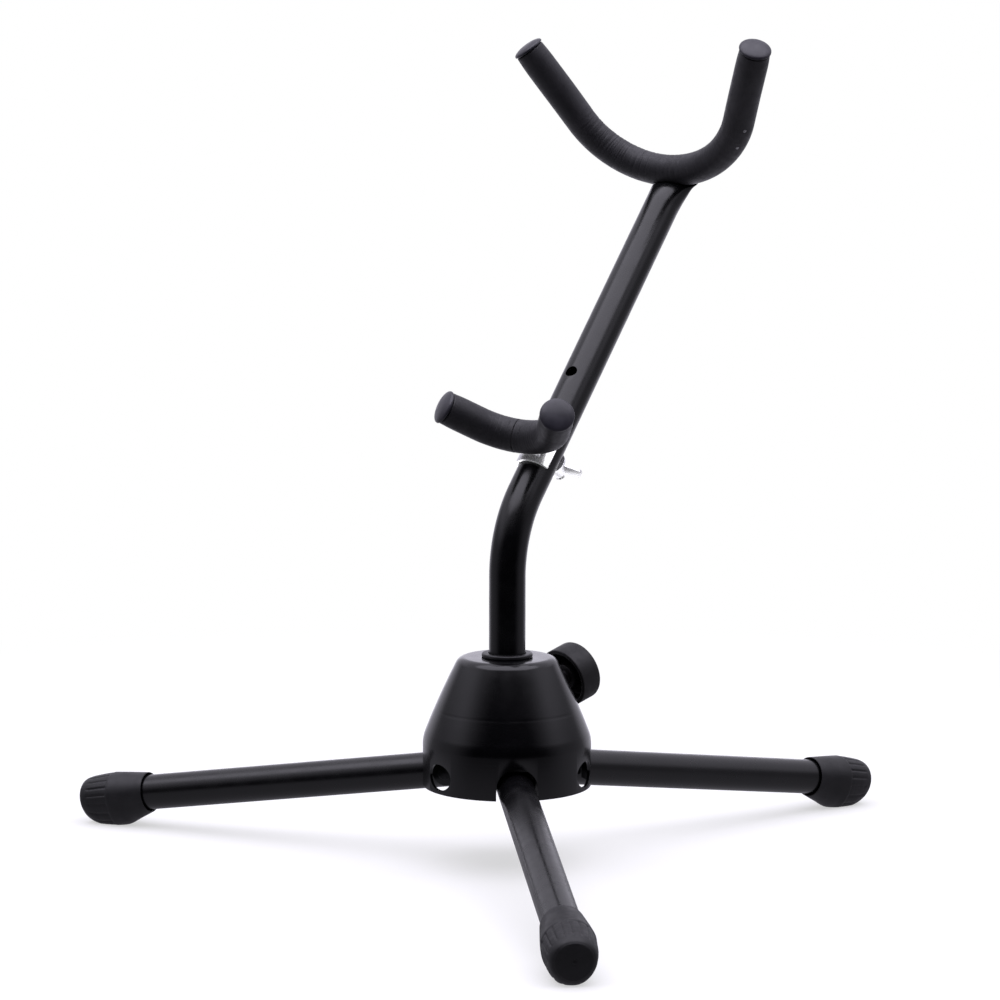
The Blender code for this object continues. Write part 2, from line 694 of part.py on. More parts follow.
def upper_yoke(root):
    yoke = UPPER_YOKE
    half = yoke["half_angle"]
    bore = YOKE_TUBE_RADIUS - YOKE_TUBE_WALL
    bm = yoke_sleeve(yoke, YOKE_TUBE_RADIUS, bore, YOKE_SIDES, -half, half, UPPER_YOKE_STEPS)
    make_piece("upper_yoke_tube", bm, root, "powder_coat")
    inner = YOKE_TUBE_RADIUS + GAP
    bm = yoke_sleeve(yoke, yoke["foam_radius"], inner, FOAM_SIDES, -half, half, UPPER_YOKE_STEPS)
    foam = make_piece("upper_foam", bm, root, "foam")
    # The foam is slit at the back to let the post's flattened end through to the tube
    stations = post_stations(extra=GAP)[-len(POST_FLATTENING):]
    center, forward, width, thickness = stations[-1]
    stations[-1] = (center + POST_UP * GAP, forward, width, thickness)
    carve(foam, make_tool("cut_foam_slit", loft(post_rings(stations)), root))
    for side, word in ((-1, "left"), (1, "right")):
        end_cap(f"upper_end_cap_{word}", yoke, side, root)


def weld_face():
    """How far forward of the post's centre line the weld on the saddle reaches."""
    return LOWER_YOKE["forward"] - YOKE_TUBE_RADIUS - GAP


def post_block(half_width, half_height, back, front):
    """A block level with the lower yoke, between two distances forward of the post."""
    middle = LOWER_YOKE["up_post"]
    corners = ((-1, -1), (1, -1), (1, 1), (-1, 1))
    return loft([
        [on_post(middle + v * half_height, n, u * half_width) for u, v in corners]
        for n in (back, front)
    ])


def lower_yoke(root):
    yoke = LOWER_YOKE
    half = yoke["half_angle"]
    bore = YOKE_TUBE_RADIUS - YOKE_TUBE_WALL
    bm = yoke_sleeve(yoke, YOKE_TUBE_RADIUS, bore, YOKE_SIDES, -half, half, LOWER_YOKE_STEPS)
    make_piece("lower_yoke_tube", bm, root, "powder_coat")
    seam = math.asin(LOWER_FOAM_SEAM / yoke["radius"])
    slack = GAP / 2.0 / yoke["radius"]
    # The foam is slit at the back, over the saddle and its weld
    slit = post_block(SLIT_HALF_WIDTH, SLIT_HALF_HEIGHT, SLIT_BACK, weld_face() + GAP)
    cut_slit = make_tool("cut_lower_slit", slit, root)
    inner = YOKE_TUBE_RADIUS + GAP
    halves = (("left", -half, seam - slack, 4), ("right", seam + slack, half, 6))
    for word, start, end, steps in halves:
        bm = yoke_sleeve(yoke, yoke["foam_radius"], inner, FOAM_SIDES, start, end, steps)
        foam = make_piece(f"lower_foam_{word}", bm, root, "foam")
        carve(foam, cut_slit)
    for side, word in ((-1, "left"), (1, "right")):
        end_cap(f"lower_end_cap_{word}", yoke, side, root)


# ---------------------------------------------------------------- saddle bracket and its fixing

def saddle_bracket(root, stud_axis):
    """Half a pipe that fits the front of the post, with the yoke welded to it."""
    section = [
        (radius * math.sin(a), radius * math.cos(a))
        for radius, sweep in ((SADDLE_OUTER, 1.0), (SADDLE_INNER, -1.0))
        for a in (
            sweep * SADDLE_HALF_ANGLE * (2.0 * i / SADDLE_STEPS - 1.0)
            for i in range(SADDLE_STEPS + 1)
        )
    ]
    bm = extruded(section, SADDLE_START, SADDLE_END, lambda u, v, w: on_post(w, v, u))
    saddle = make_piece("saddle_bracket", bm, root, "zinc")
    sunk = SADDLE_INNER + WELD_SINK
    weld = post_block(WELD_HALF_WIDTH, WELD_HALF_HEIGHT, sunk, weld_face())
    combine(saddle, make_tool("join_weld", weld, root), "UNION")
    drill = rod(STUD_RADIUS + GAP, -HOLE_DRILL_REACH, 0.0)
    carve(saddle, make_tool("cut_saddle_hole", drill, stud_axis))


def stud_and_nut(axis):
    """Along the stud's axis, Z runs backwards from the post's centre line."""
    profile = [
        (0.0, -STUD_FRONT), (STUD_RADIUS, -STUD_FRONT), (STUD_RADIUS, STUD_BACK - STUD_CHAMFER),
        (STUD_RADIUS - STUD_CHAMFER, STUD_BACK), (0.0, STUD_BACK),
    ]
    make_piece("yoke_stud", turned(profile, 16), axis, "zinc")

    seat = TUBE_RADIUS + GAP
    bore = STUD_RADIUS + GAP
    face = seat + WASHER_THICKNESS
    profile = [(bore, face), (WASHER_RADIUS, face), (WASHER_RADIUS, seat), (bore, seat)]
    make_piece("yoke_washer", turned(profile, 24), axis, "zinc")

    start = face + GAP
    top = start + WING_HUB_HEIGHT
    neck = WING_HUB_RADIUS - WING_HUB_TAPER
    profile = [(0.0, start), (WING_HUB_RADIUS, start), (neck, top), (0.0, top)]
    nut = make_piece("wing_nut", turned(profile, 20), axis, "zinc")
    spin = Quaternion((0.0, 0.0, 1.0), WING_TURN)
    tip = (WING_SPAN - WING_TIP_RADIUS, top + WING_TIP_RISE)
    above_seat, below_top = WING_ROOT_INSETS
    elbow, elbow_rise = WING_ELBOW
    ear = [(WING_ROOT, start + above_seat), (elbow, start + elbow_rise)]
    ear += arc(tip, WING_TIP_RADIUS, *WING_TIP_ARC, 8)
    ear += [(WING_ROOT, top - below_top)]
    for side, word in ((1, "right"), (-1, "left")):
        bm = extruded(
            ear, -WING_SHEET / 2.0, WING_SHEET / 2.0,
            lambda u, v, w: spin @ Vector((side * u, w, v)),
        )
        combine(nut, make_tool(f"join_wing_{word}", bm, axis), "UNION")
    tapped = rod(bore, start - CUT_MARGIN, top + CUT_MARGIN)
    carve(nut, make_tool("cut_wing_bore", tapped, axis))


# ---------------------------------------------------------------- assembly

def box_center(root):
    """The middle of the stand's bounding box, with the post's foot on the origin."""
    bpy.context.view_layer.update()
    graph = bpy.context.evaluated_depsgraph_get()
    corners = [
        piece.matrix_world @ vertex.co
        for piece in bpy.data.objects if piece.type == "MESH" and not piece.hide_render
        for vertex in piece.evaluated_get(graph).data.vertices
    ]
    xs = [corner.x for corner in corners]
    ys = [corner.y for corner in corners]
    return Vector(((min(xs) + max(xs)) / 2.0, (min(ys) + max(ys)) / 2.0, 0.0))


def main():
    clear_scene()
    root = frame_at("stand", None, (0.0, 0.0, 0.0), Quaternion())
    clamp_direction = axis_turn(CLAMP_AZIMUTH) @ Vector(
        (math.cos(CLAMP_RISE), 0.0, math.sin(CLAMP_RISE)))
    clamp_axis = frame_at("clamp_axis", root, (0.0, 0.0, CLAMP_HEIGHT),
                          clamp_direction.to_track_quat("Z", "Y"))
    # X to the right, Y down the post, Z backwards out of it
    stud_turn = Matrix((RIGHT, -POST_UP, -POST_FORWARD)).transposed().to_quaternion()
    stud_axis = frame_at("stud_axis", root, on_post(HOLE_LOWER, 0.0), stud_turn)

    hub_shell(root, clamp_axis)
    post_guides(root, clamp_axis)
    legs(root)
    clamp(clamp_axis)
    post_tube(root, stud_axis)
    upper_yoke(root)
    lower_yoke(root)
    saddle_bracket(root, stud_axis)
    stud_and_nut(stud_axis)

    root.location = -box_center(root)
    bpy.context.view_layer.update()


main()
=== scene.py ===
"""Looks for the folding saxophone stand.

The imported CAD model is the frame. Each visible part gets a finer piece built on the CAD's own
dimensions: spun hub, bent and flattened post, folding legs with fluted rubber feet, creased foam
sleeves with domed end caps, clamp knob, saddle, and a threaded stud with its washer and wing nut.
"""

import math

import bmesh
import bpy
import numpy as np
from mathutils import Matrix, Quaternion, Vector


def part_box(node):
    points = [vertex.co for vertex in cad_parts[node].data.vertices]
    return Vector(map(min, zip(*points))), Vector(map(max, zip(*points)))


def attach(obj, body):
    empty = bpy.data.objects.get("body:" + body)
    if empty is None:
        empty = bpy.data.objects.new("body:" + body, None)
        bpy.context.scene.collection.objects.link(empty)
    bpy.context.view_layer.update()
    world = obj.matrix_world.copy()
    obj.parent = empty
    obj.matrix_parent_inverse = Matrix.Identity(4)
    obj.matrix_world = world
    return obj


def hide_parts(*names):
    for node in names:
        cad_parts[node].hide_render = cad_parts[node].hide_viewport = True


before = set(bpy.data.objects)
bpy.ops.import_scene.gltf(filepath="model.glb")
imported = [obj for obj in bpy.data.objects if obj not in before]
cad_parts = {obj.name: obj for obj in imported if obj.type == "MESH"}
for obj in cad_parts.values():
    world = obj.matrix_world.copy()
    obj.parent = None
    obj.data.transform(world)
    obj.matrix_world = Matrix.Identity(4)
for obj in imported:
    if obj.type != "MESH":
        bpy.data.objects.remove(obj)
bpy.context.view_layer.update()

MM = 0.001
GAP = 0.3 * MM
SEED = 7

# The post's centre line, where it meets the floor
BUSH_LOW, BUSH_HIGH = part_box("top_bushing")
HOME = Vector(((BUSH_LOW.x + BUSH_HIGH.x) / 2.0, (BUSH_LOW.y + BUSH_HIGH.y) / 2.0, 0.0))
UP = Vector((0.0, 0.0, 1.0))
RIGHT = Vector((1.0, 0.0, 0.0))

# Steel tube of the legs and the post
TUBE_RADIUS = 9.5 * MM
TUBE_WALL = 1.5 * MM
TUBE_SIDES = 72
DRILL_REACH = 14.0 * MM  # clear of a tube on both sides

# Threads
THREAD_SIDES = 28
THREAD_RINGS = 10  # for each turn
THREAD_DEPTH = 0.55  # share of the pitch

# Legs
LEG_AZIMUTHS = (-49.7, 70.3, 190.3)
LEG_DROP = math.radians(9.0)
PIVOT_RADIUS = 30.0 * MM
PIVOT_HEIGHT = 47.6 * MM
LEG_TIP = 222.8 * MM
LEG_INNER_MIDDLE = -5.5 * MM
LEG_INNER_SLANT = 9.0 / 19.0
PIN_RADIUS = 2.5 * MM
PIN_HEAD_RADIUS = 4.2 * MM
PIN_HEAD_SEAT = 11.8 * MM
PIN_HEAD_HEIGHT = 1.6 * MM

# Rubber feet: distance from the mouth, half-height above, half-width, half-height below
FOOT_LENGTH = 39.0 * MM
FOOT_END_WALL = 6.0 * MM
FOOT_SIDES = 192
FOOT_STATIONS = (
    (0.0, 10.9, 10.9, 11.0),
    (8.0, 11.6, 11.9, 14.0),
    (15.0, 12.2, 12.7, 16.6),
    (22.0, 12.6, 13.2, 17.5),
    (29.0, 12.1, 12.8, 16.8),
    (33.5, 11.6, 12.2, 15.0),
    (36.8, 10.8, 11.3, 12.9),
    (38.3, 10.0, 10.4, 11.3),
    (39.0, 9.2, 9.5, 10.2),
)
# The flared mouth (distance in, added radius) and the domed end (share of the end, bulge)
FOOT_MOUTH = ((3.0, 0.0), (1.2, 0.12), (0.4, 0.38), (0.0, 0.62), (-0.12, 0.82))
FOOT_FACE = (
    (0.97, 0.30), (0.90, 0.42), (0.6, 0.55), (0.25, 0.62), (0.12, 0.60), (0.09, 0.25), (0.02, 0.15),
)
FOOT_PLAIN_END = 21.0  # behind this the foot is smooth and needs few rings
FOOT_FLUTES = 18
FOOT_FLUTE_DEPTH = 0.50 * MM
FOOT_FLUTE_WIDTH = 0.13  # share of a flute's pitch
FOOT_FLUTE_SPAN = (20.5, 35.5)
FOOT_STEP = 0.28 * MM
FOOT_RINGS = (24.5, 28.5, 32.0, 35.2)
FOOT_RING_DEPTH = 0.035 * MM
FOOT_RING_WIDTH = 0.38

# Hub
SHEET = 1.5 * MM
HUB_SIDES = 192
HUB_TOP = 109.0 * MM
HUB_RIM = 41.5 * MM
HUB_RADIUS = 43.9 * MM
SHOULDER_RADIUS = 25.2 * MM
HUB_KNUCKLE = 66.9 * MM
SHOULDER_ROUND = 5.2 * MM
KNUCKLE_ROUND = 18.0 * MM
HUB_GROOVE = (82.0 * MM, 0.05 * MM, 0.5 * MM)  # height, depth, half-width
HUB_SWELL = 0.7 * MM  # how far the spun cone bulges
HUB_SWELL_SPAN = (75.5 * MM, 101.0 * MM)
GROOVE_CLEAR = 1.5 * MM
HUB_EDGE = 0.45 * MM
SLOT_REACH = 8.0 * MM  # how far a cutting tool stands in and out of the skirt
SLOT_WIDTH = 21.5 * MM
SLOT_ARCH_HEIGHT = 47.5 * MM
WINDOW_WIDTH = 18.0 * MM
WINDOW_HEIGHT = 13.5 * MM
WINDOW_LEVEL = 50.4 * MM
SLEEVE_INNER = 11.6 * MM
FLANGE_RADIUS = 13.25 * MM
FLANGE_HEIGHT = 1.8 * MM
BUSH_BOTTOM = 97.0 * MM

# Clamp, along the screw's axis from the post's centre line
CLAMP_AZIMUTH = 77.0
CLAMP_RISE = math.radians(15.5)
CLAMP_HEIGHT = 81.2 * MM
SCREW_RADIUS = 4.0 * MM
SCREW_START = 13.3 * MM
SCREW_END = 50.7 * MM
SCREW_PITCH = 1.25 * MM
HUB_DRILL = (28.0 * MM, 41.0 * MM)
KNOB_RADIUS = 15.8 * MM
KNOB_START = 42.0 * MM
KNOB_END = 55.4 * MM
KNOB_WALL = 2.2 * MM
KNOB_WEB = 3.5 * MM
BOSS_RADIUS = 7.0 * MM

# Post
POST_BOTTOM = 40.0 * MM
BEND_START = 150.6 * MM
BEND_RADIUS = 61.6 * MM
POST_LEAN = math.radians(43.5)
POST_SQUEEZE = 0.12 * MM
POST_FLATTENING = (
    (190.0, 9.5, 9.5, 0.0),
    (196.0, 9.55, 9.45, 0.0),
    (203.0, 10.2, 8.7, -0.2),
    (209.0, 11.4, 7.2, -0.6),
    (212.0, 12.4, 4.9, -0.9),
    (214.0, 13.2, 2.7, -1.5),
    (216.0, 13.8, 1.8, -2.3),
    (217.5, 14.0, 1.7, -2.54),
    (226.0, 14.0, 1.7, -2.54),
)
HOLE_RADIUS = 3.3 * MM
HOLE_LOWER = 27.5 * MM
HOLE_UPPER = 73.9 * MM

# Yokes
YOKE_TUBE_RADIUS = 6.0 * MM
YOKE_TUBE_WALL = 1.5 * MM
FOAM_SIDES = 88
FOAM_STEP = 0.42 * MM
CAP_END_ROUND = 0.7 * MM
SEAM_ROUND = 0.2 * MM
FOAM_PINCH = 0.35 * MM
FOAM_PINCH_REACH = 5.0 * MM
UPPER_CREASE = 0.34 * MM
LOWER_CREASE = 0.26 * MM
CREASE_PITCH = (0.8 * MM, 1.7 * MM)
CREASE_WIDTH = (0.26 * MM, 0.42 * MM)
CREASE_SKEW = 0.5 * MM
CREASE_FADE = (8.0 * MM, 12.0 * MM)  # before and past the end of the bend
WAVE_DEPTH = (0.02 * MM, 0.05 * MM)
UPPER_YOKE = {
    "up_post": 219.0 * MM, "forward": 5.48 * MM, "tilt": math.radians(28.0), "radius": 55.7 * MM,
    "half_angle": math.radians(64.15), "arm": 47.4 * MM, "foam_radius": 8.6 * MM,
}
LOWER_YOKE = {
    "up_post": 22.1 * MM, "forward": 18.8 * MM, "tilt": math.radians(58.4), "radius": 27.6 * MM,
    "half_angle": math.radians(56.8), "arm": 20.1 * MM, "foam_radius": 8.9 * MM,
}
LOWER_FOAM_SEAM = -5.5 * MM
WELD_FACE = LOWER_YOKE["forward"] - YOKE_TUBE_RADIUS - GAP
CAP_PLUG_DEPTH = 8.0 * MM
CAP_HEIGHT = 3.2 * MM
CAP_EDGE = 0.8 * MM

# Saddle bracket, stud, washer and wing nut
SADDLE_INNER = TUBE_RADIUS + GAP
SADDLE_OUTER = 11.3 * MM
SADDLE_START = 13.2 * MM
SADDLE_END = 32.0 * MM
SADDLE_HALF_ANGLE = math.radians(65.0)
WELD_HALF_WIDTH = 6.0 * MM
WELD_HALF_HEIGHT = 5.0 * MM
SLIT_HALF_WIDTH = 7.5 * MM
SLIT_HALF_HEIGHT = 7.4 * MM
SLIT_BACK = 8.0 * MM
STUD_RADIUS = 3.0 * MM
STUD_PITCH = 1.0 * MM
STUD_FRONT = 11.1 * MM
STUD_BACK = 21.5 * MM
WASHER_RADIUS = 7.0 * MM
WASHER_THICKNESS = 1.2 * MM
WING_TURN = math.radians(-12.0)
WING_HUB_RADIUS = 5.2 * MM
WING_HUB_HEIGHT = 7.0 * MM
WING_SHEET = 1.8 * MM
WING_TIP = (9.3 * MM, 1.6 * MM, 3.2 * MM)  # out, above the hub's top, radius

POST_UP = Vector((0.0, math.sin(POST_LEAN), math.cos(POST_LEAN)))


def post_bend(angle):
    """Place from the post's foot and forward direction, at an angle on its bend."""
    cosine, sine = math.cos(angle), math.sin(angle)
    rise = BEND_START + BEND_RADIUS * sine
    return Vector((0.0, BEND_RADIUS * (1.0 - cosine), rise)), Vector((0.0, -cosine, sine))


BEND_END, POST_FORWARD = post_bend(POST_LEAN)


# ---- mesh helpers

def on_post(up, forward, across=0.0):
    """A point by its distance up the leaning run, forward of it and to the right."""
    return HOME + BEND_END + POST_UP * up + POST_FORWARD * forward + RIGHT * across


def smooth_table(table, at):
    """Values between a table's rows, on a smooth curve that never overshoots them."""
    table = np.asarray(table, float)
    xs, ys = table[:, 0], table[:, 1:]
    step = np.diff(xs)[:, None]
    slope = np.diff(ys, axis=0) / step
    same = slope[:-1] * slope[1:] > 0.0
    total = np.where(same, slope[:-1] + slope[1:], 1.0)
    tangent = np.zeros_like(ys)
    tangent[1:-1] = np.where(same, 2.0 * slope[:-1] * slope[1:] / total, 0.0)
    tangent[0], tangent[-1] = slope[0], slope[-1]
    at = np.asarray(at, float)
    i = np.clip(np.searchsorted(xs, at, side="right") - 1, 0, len(xs) - 2)
    u = ((at - xs[i]) / (xs[i + 1] - xs[i]))[:, None]
    return (
        ys[i] * (2 * u**3 - 3 * u**2 + 1) + ys[i + 1] * (3 * u**2 - 2 * u**3)
        + tangent[i] * step[i] * (u**3 - 2 * u**2 + u) + tangent[i + 1] * step[i] * (u**3 - u**2)
    )


def smoothstep(low, high, x):
    t = np.clip((np.asarray(x, float) - low) / (high - low), 0.0, 1.0)
    return t * t * (3.0 - 2.0 * t)


def rounded(corners, closed=False, steps=6):
    """A polyline with each (x, y, radius) corner turned into an arc."""
    count = len(corners)
    points = []
    for k, (x, y, radius) in enumerate(corners):
        corner = np.array((x, y))
        if radius <= 0.0 or (not closed and k in (0, count - 1)):
            points.append(corner)
            continue
        before = np.array(corners[k - 1][:2]) - corner
        after = np.array(corners[(k + 1) % count][:2]) - corner
        room = 0.49 * min(np.linalg.norm(before), np.linalg.norm(after))
        before /= np.linalg.norm(before)
        after /= np.linalg.norm(after)
        half = math.acos(max(-1.0, min(1.0, float(before @ after)))) / 2.0
        reach = min(radius / math.tan(half), room)
        radius = reach * math.tan(half)
        middle = (before + after) / np.linalg.norm(before + after)
        center = corner + middle * (radius / math.sin(half))
        start, end = corner + before * reach - center, corner + after * reach - center
        sweep = math.pi - 2.0 * half
        for i in range(steps + 1):
            t = i / steps
            points.append(center + (
                start * math.sin((1.0 - t) * sweep) + end * math.sin(t * sweep)
            ) / math.sin(sweep))
    return np.array(points)


def circle(sides):
    return np.linspace(0.0, 2.0 * math.pi, sides, endpoint=False)


def ring_points(radius, height, angles):
    """Points round the Z axis, one ring for each height."""
    return np.stack([radius * np.cos(angles), radius * np.sin(angles), height + 0.0 * angles], -1)


def placed(points, matrix):
    return np.asarray(points) @ np.array(matrix.to_3x3()).T + np.array(matrix.translation)


def new_object(name, data):
    item = bpy.data.objects.new(name, data)
    bpy.context.scene.collection.objects.link(item)
    return item


def smooth(mesh, sharp):
    mesh.shade_smooth()
    mesh.set_sharp_from_angle(angle=math.radians(sharp))


def add_bevel(piece, width, sharp=30.0):
    step = piece.modifiers.new("bevel", "BEVEL")
    step.width = width
    step.segments = 2
    step.limit_method = "ANGLE"
    step.angle_limit = math.radians(sharp)


def finish_mesh(mesh, sharp):
    bm = bmesh.new()
    bm.from_mesh(mesh)
    bmesh.ops.remove_doubles(bm, verts=bm.verts, dist=1e-7)
    bmesh.ops.recalc_face_normals(bm, faces=bm.faces)
    bm.to_mesh(mesh)
    bm.free()
    smooth(mesh, sharp)


def grid_piece(name, rings, loop=False, sharp=40.0, along=None):
    """Skins rings of equal count. A loop joins the last ring to the first; else both are capped."""
    rings = np.asarray(rings, float)
    count, sides = rings.shape[:2]
    index = np.arange(count * sides).reshape(count, sides)
    rows = np.vstack([index, index[:1]]) if loop else index
    near, far = rows[:-1], rows[1:]
    quads = np.stack([near, np.roll(near, -1, 1), np.roll(far, -1, 1), far], -1).reshape(-1, 4)
    faces = quads.tolist()
    if not loop:
        faces += [index[0][::-1].tolist(), index[-1].tolist()]
    mesh = bpy.data.meshes.new(name)
    mesh.from_pydata(rings.reshape(-1, 3).tolist(), [], faces)
    if along is not None:
        data = mesh.attributes.new("along", "FLOAT", "POINT").data
        data.foreach_set("value", np.repeat(np.asarray(along, np.float32), sides))
    finish_mesh(mesh, sharp)
    return new_object(name, mesh)


def turned(name, profile, place, sides, loop=False, sharp=40.0):
    """Spins (radius, height) points about the Z axis of place, a 4x4 matrix."""
    profile = np.asarray(profile, float)
    radius, height = np.maximum(profile[:, 0], 1e-6)[:, None], profile[:, 1][:, None]
    return grid_piece(name, placed(ring_points(radius, height, circle(sides)), place), loop, sharp)


def extruded(name, outline, near, far, place):
    """Extrudes a flat outline; place(u, v, w) puts its points in space."""
    return grid_piece(name, [[place(u, v, w) for u, v in outline] for w in (near, far)])


def arc(center, radius, start, end, steps):
    angles = np.linspace(start, end, steps + 1)
    return [(center[0] + radius * math.cos(a), center[1] + radius * math.sin(a)) for a in angles]


def shaped(piece, tools=(), joins=(), bevel=None, sharp=40.0):
    """Applies joins, cuts and an edge bevel, and removes the tools."""
    for operation, group in (("UNION", joins), ("DIFFERENCE", tools)):
        for tool in group:
            step = piece.modifiers.new(tool.name, "BOOLEAN")
            step.operation = operation
            step.solver = "EXACT"
            step.object = tool
    if bevel:
        add_bevel(piece, bevel, sharp)
    graph = bpy.context.evaluated_depsgraph_get()
    mesh = bpy.data.meshes.new_from_object(piece.evaluated_get(graph))
    piece.modifiers.clear()
    piece.data = mesh
    mesh.name = piece.name
    for tool in (*tools, *joins):
        bpy.data.objects.remove(tool, do_unlink=True)
    smooth(mesh, sharp)


def drill(name, radius, near, far, place, sides=40):
    return turned(name, [(radius, near), (radius, far)], place, sides)


def axis_matrix(place, direction):
    return Matrix.Translation(place) @ direction.to_track_quat("Z", "Y").to_matrix().to_4x4()


def threaded(name, radius, pitch, start, end, place, chamfer):
    """A rod along Z with a real helical thread, tapered at both ends."""
    count = int((end - start) / pitch * THREAD_RINGS)
    heights = np.linspace(start, end, count + 1)[:, None]
    angles = circle(THREAD_SIDES)[None, :]
    phase = (heights / pitch - angles / (2.0 * math.pi)) % 1.0
    depth = THREAD_DEPTH * pitch * np.abs(2.0 * phase - 1.0)
    ends = np.minimum(heights - start, end - heights)
    crest = radius - np.maximum(0.0, chamfer - ends)
    reach = np.minimum(radius - depth, crest)
    return grid_piece(name, placed(ring_points(reach, heights, angles), place), sharp=60.0)


# ---- materials

# Darkest and lightest base colour of each finish
COAT_COLORS = (0.0012, 0.0012, 0.0016), (0.0030, 0.0029, 0.0036)
FOAM_COLORS = (0.0160, 0.0156, 0.0180), (0.0250, 0.0243, 0.0275)
RUBBER_COLORS = (0.0075, 0.0074, 0.0084), (0.0135, 0.0131, 0.0148)
BUSHING_COLORS = (0.012, 0.012, 0.013), (0.020, 0.020, 0.021)
GUIDE_COLORS = (0.014, 0.014, 0.015), (0.022, 0.022, 0.023)
KNOB_COLORS = (0.0075, 0.0072, 0.0078), (0.0125, 0.0120, 0.0128)
CAP_COLORS = (0.030, 0.029, 0.038), (0.046, 0.044, 0.057)
ZINC_COLORS = (0.80, 0.80, 0.83), (0.92, 0.92, 0.92)
STEEL_COLORS = (0.020, 0.020, 0.022), (0.045, 0.044, 0.046)
NYLON_COLORS = (0.66, 0.65, 0.60), (0.78, 0.77, 0.73)
COAT_SPECK = (0.05, 0.05, 0.055)
FOAM_PORE = (0.042, 0.041, 0.046)
FOAM_SCUFF = (0.70, 0.70, 0.72)
RUBBER_DUST = (0.050, 0.048, 0.050)
SPOT_CORE = 0.45  # share of a spot's size that has its full strength
COAT_SATIN = (0.21, 0.29)  # roughness of the tubes
HUB_SATIN = (0.17, 0.21)
COAT_PEEL = 0.14  # strength of the orange peel
HUB_PEEL = 0.06
LEG_PEEL = 0.03
UPPER_FOAM_PAINTED_LIGHT = 1.75  # painted light: a sleeve's foam colour as a multiple of FOAM_COLORS, raised to stand in for the light on it, the upper sleeve more than the lower
LOWER_FOAM_PAINTED_LIGHT = 1.2
FOAM_DRIFT = 1.2 * MM  # how far a crease wanders along the sleeve

# Depths of the finest relief
FAINT_GRAIN = 0.02 * MM
GRAIN = 0.03 * MM
RUBBER_GRAIN = 0.05 * MM
BROAD_RINGS = 0.08 * MM
FOAM_FOLDS = 0.12 * MM


class NodeKit:
    """Adds and links the nodes of one shader tree."""

    def __init__(self, tree):
        self.tree = tree

    def node(self, kind, inputs=(), **settings):
        item = self.tree.nodes.new(f"ShaderNode{kind}")
        for key, value in settings.items():
            setattr(item, key, value)
        for key, value in dict(inputs).items():
            if isinstance(value, bpy.types.NodeSocket):
                self.tree.links.new(value, item.inputs[key])
            else:
                item.inputs[key].default_value = value
        return item

    def math(self, operation, first, second):
        return self.node("Math", {0: first, 1: second}, operation=operation).outputs[0]

    def ramp(self, value, low, high, low_out=0.0, high_out=1.0):
        """A smooth change from low_out at low to high_out at high."""
        item = self.node("MapRange", {
            "Value": value, "From Min": low, "From Max": high,
            "To Min": low_out, "To Max": high_out,
        }, interpolation_type="SMOOTHSTEP")
        return item.outputs["Result"]


class Recipe(NodeKit):
    """A builder for one node material round a Principled shader."""

    def __init__(self, name, color, roughness, **sockets):
        self.material = bpy.data.materials.new(name)
        self.material.use_nodes = True
        super().__init__(self.material.node_tree)
        self.shader = self.tree.nodes["Principled BSDF"]
        self.shader.inputs["Base Color"].default_value = (*color, 1.0)
        self.shader.inputs["Roughness"].default_value = roughness
        for key, value in sockets.items():
            self.shader.inputs[key.replace("_", " ")].default_value = value
        self.place = self.tree.nodes.new("ShaderNodeTexCoord").outputs["Object"]
        self.base = self.normal = None

    def noise(self, scale, detail, vector=None):
        inputs = {"Vector": vector or self.place, "Scale": scale, "Detail": detail}
        return self.node("TexNoise", inputs).outputs["Fac"]

    def spot(self, point, size):
        """1 near a point on the stand, falling to 0 at size away from it."""
        away = self.node("VectorMath", {0: self.place, 1: tuple(point)}, operation="DISTANCE")
        return self.ramp(away.outputs["Value"], SPOT_CORE * size, size, 1.0, 0.0)

    def overlay(self, amount, color):
        """Lays a colour over the base colour so far."""
        item = self.node("Mix", {0: amount, 6: self.base, 7: (*color, 1.0)}, data_type="RGBA")
        self.base = item.outputs[2]
        self.tree.links.new(self.base, self.shader.inputs["Base Color"])

    def color(self, amount, dark, light):
        self.base = (*dark, 1.0)
        self.overlay(amount, light)

    def roughness(self, scale, detail, *spans):
        value = self.ramp(self.noise(scale, detail), *spans)
        self.tree.links.new(value, self.shader.inputs["Roughness"])

    def bump(self, height, distance, strength):
        inputs = {"Height": height, "Distance": distance, "Strength": strength}
        if self.normal is not None:
            inputs["Normal"] = self.normal
        self.normal = self.node("Bump", inputs).outputs["Normal"]
        self.tree.links.new(self.normal, self.shader.inputs["Normal"])


def powder_coat(name, rings=False, peel=COAT_PEEL, satin=COAT_SATIN):
    """Satin black powder coat: fine orange peel, faint mottling, a few specks of dust."""
    look = Recipe(name, (0.004, 0.004, 0.005), 0.27, Specular_IOR_Level=0.5)
    mottle = look.noise(38.0, 3.0)
    look.color(look.ramp(mottle, 0.35, 0.7), *COAT_COLORS)
    specks = look.ramp(look.noise(620.0, 1.0), 0.79, 0.84)
    look.overlay(look.math("MULTIPLY", specks, 0.12), COAT_SPECK)
    look.roughness(120.0, 3.0, 0.3, 0.75, *satin)
    look.bump(look.noise(1150.0, 2.0), FAINT_GRAIN, peel)
    if rings:
        height = look.node("SeparateXYZ", {0: look.place}).outputs["Z"]
        band = look.node("CombineXYZ", {0: height}).outputs[0]
        look.bump(look.noise(950.0, 2.0, band), GRAIN, 0.12)
        look.bump(look.noise(260.0, 1.0, band), BROAD_RINGS, 0.10)
    return look.material


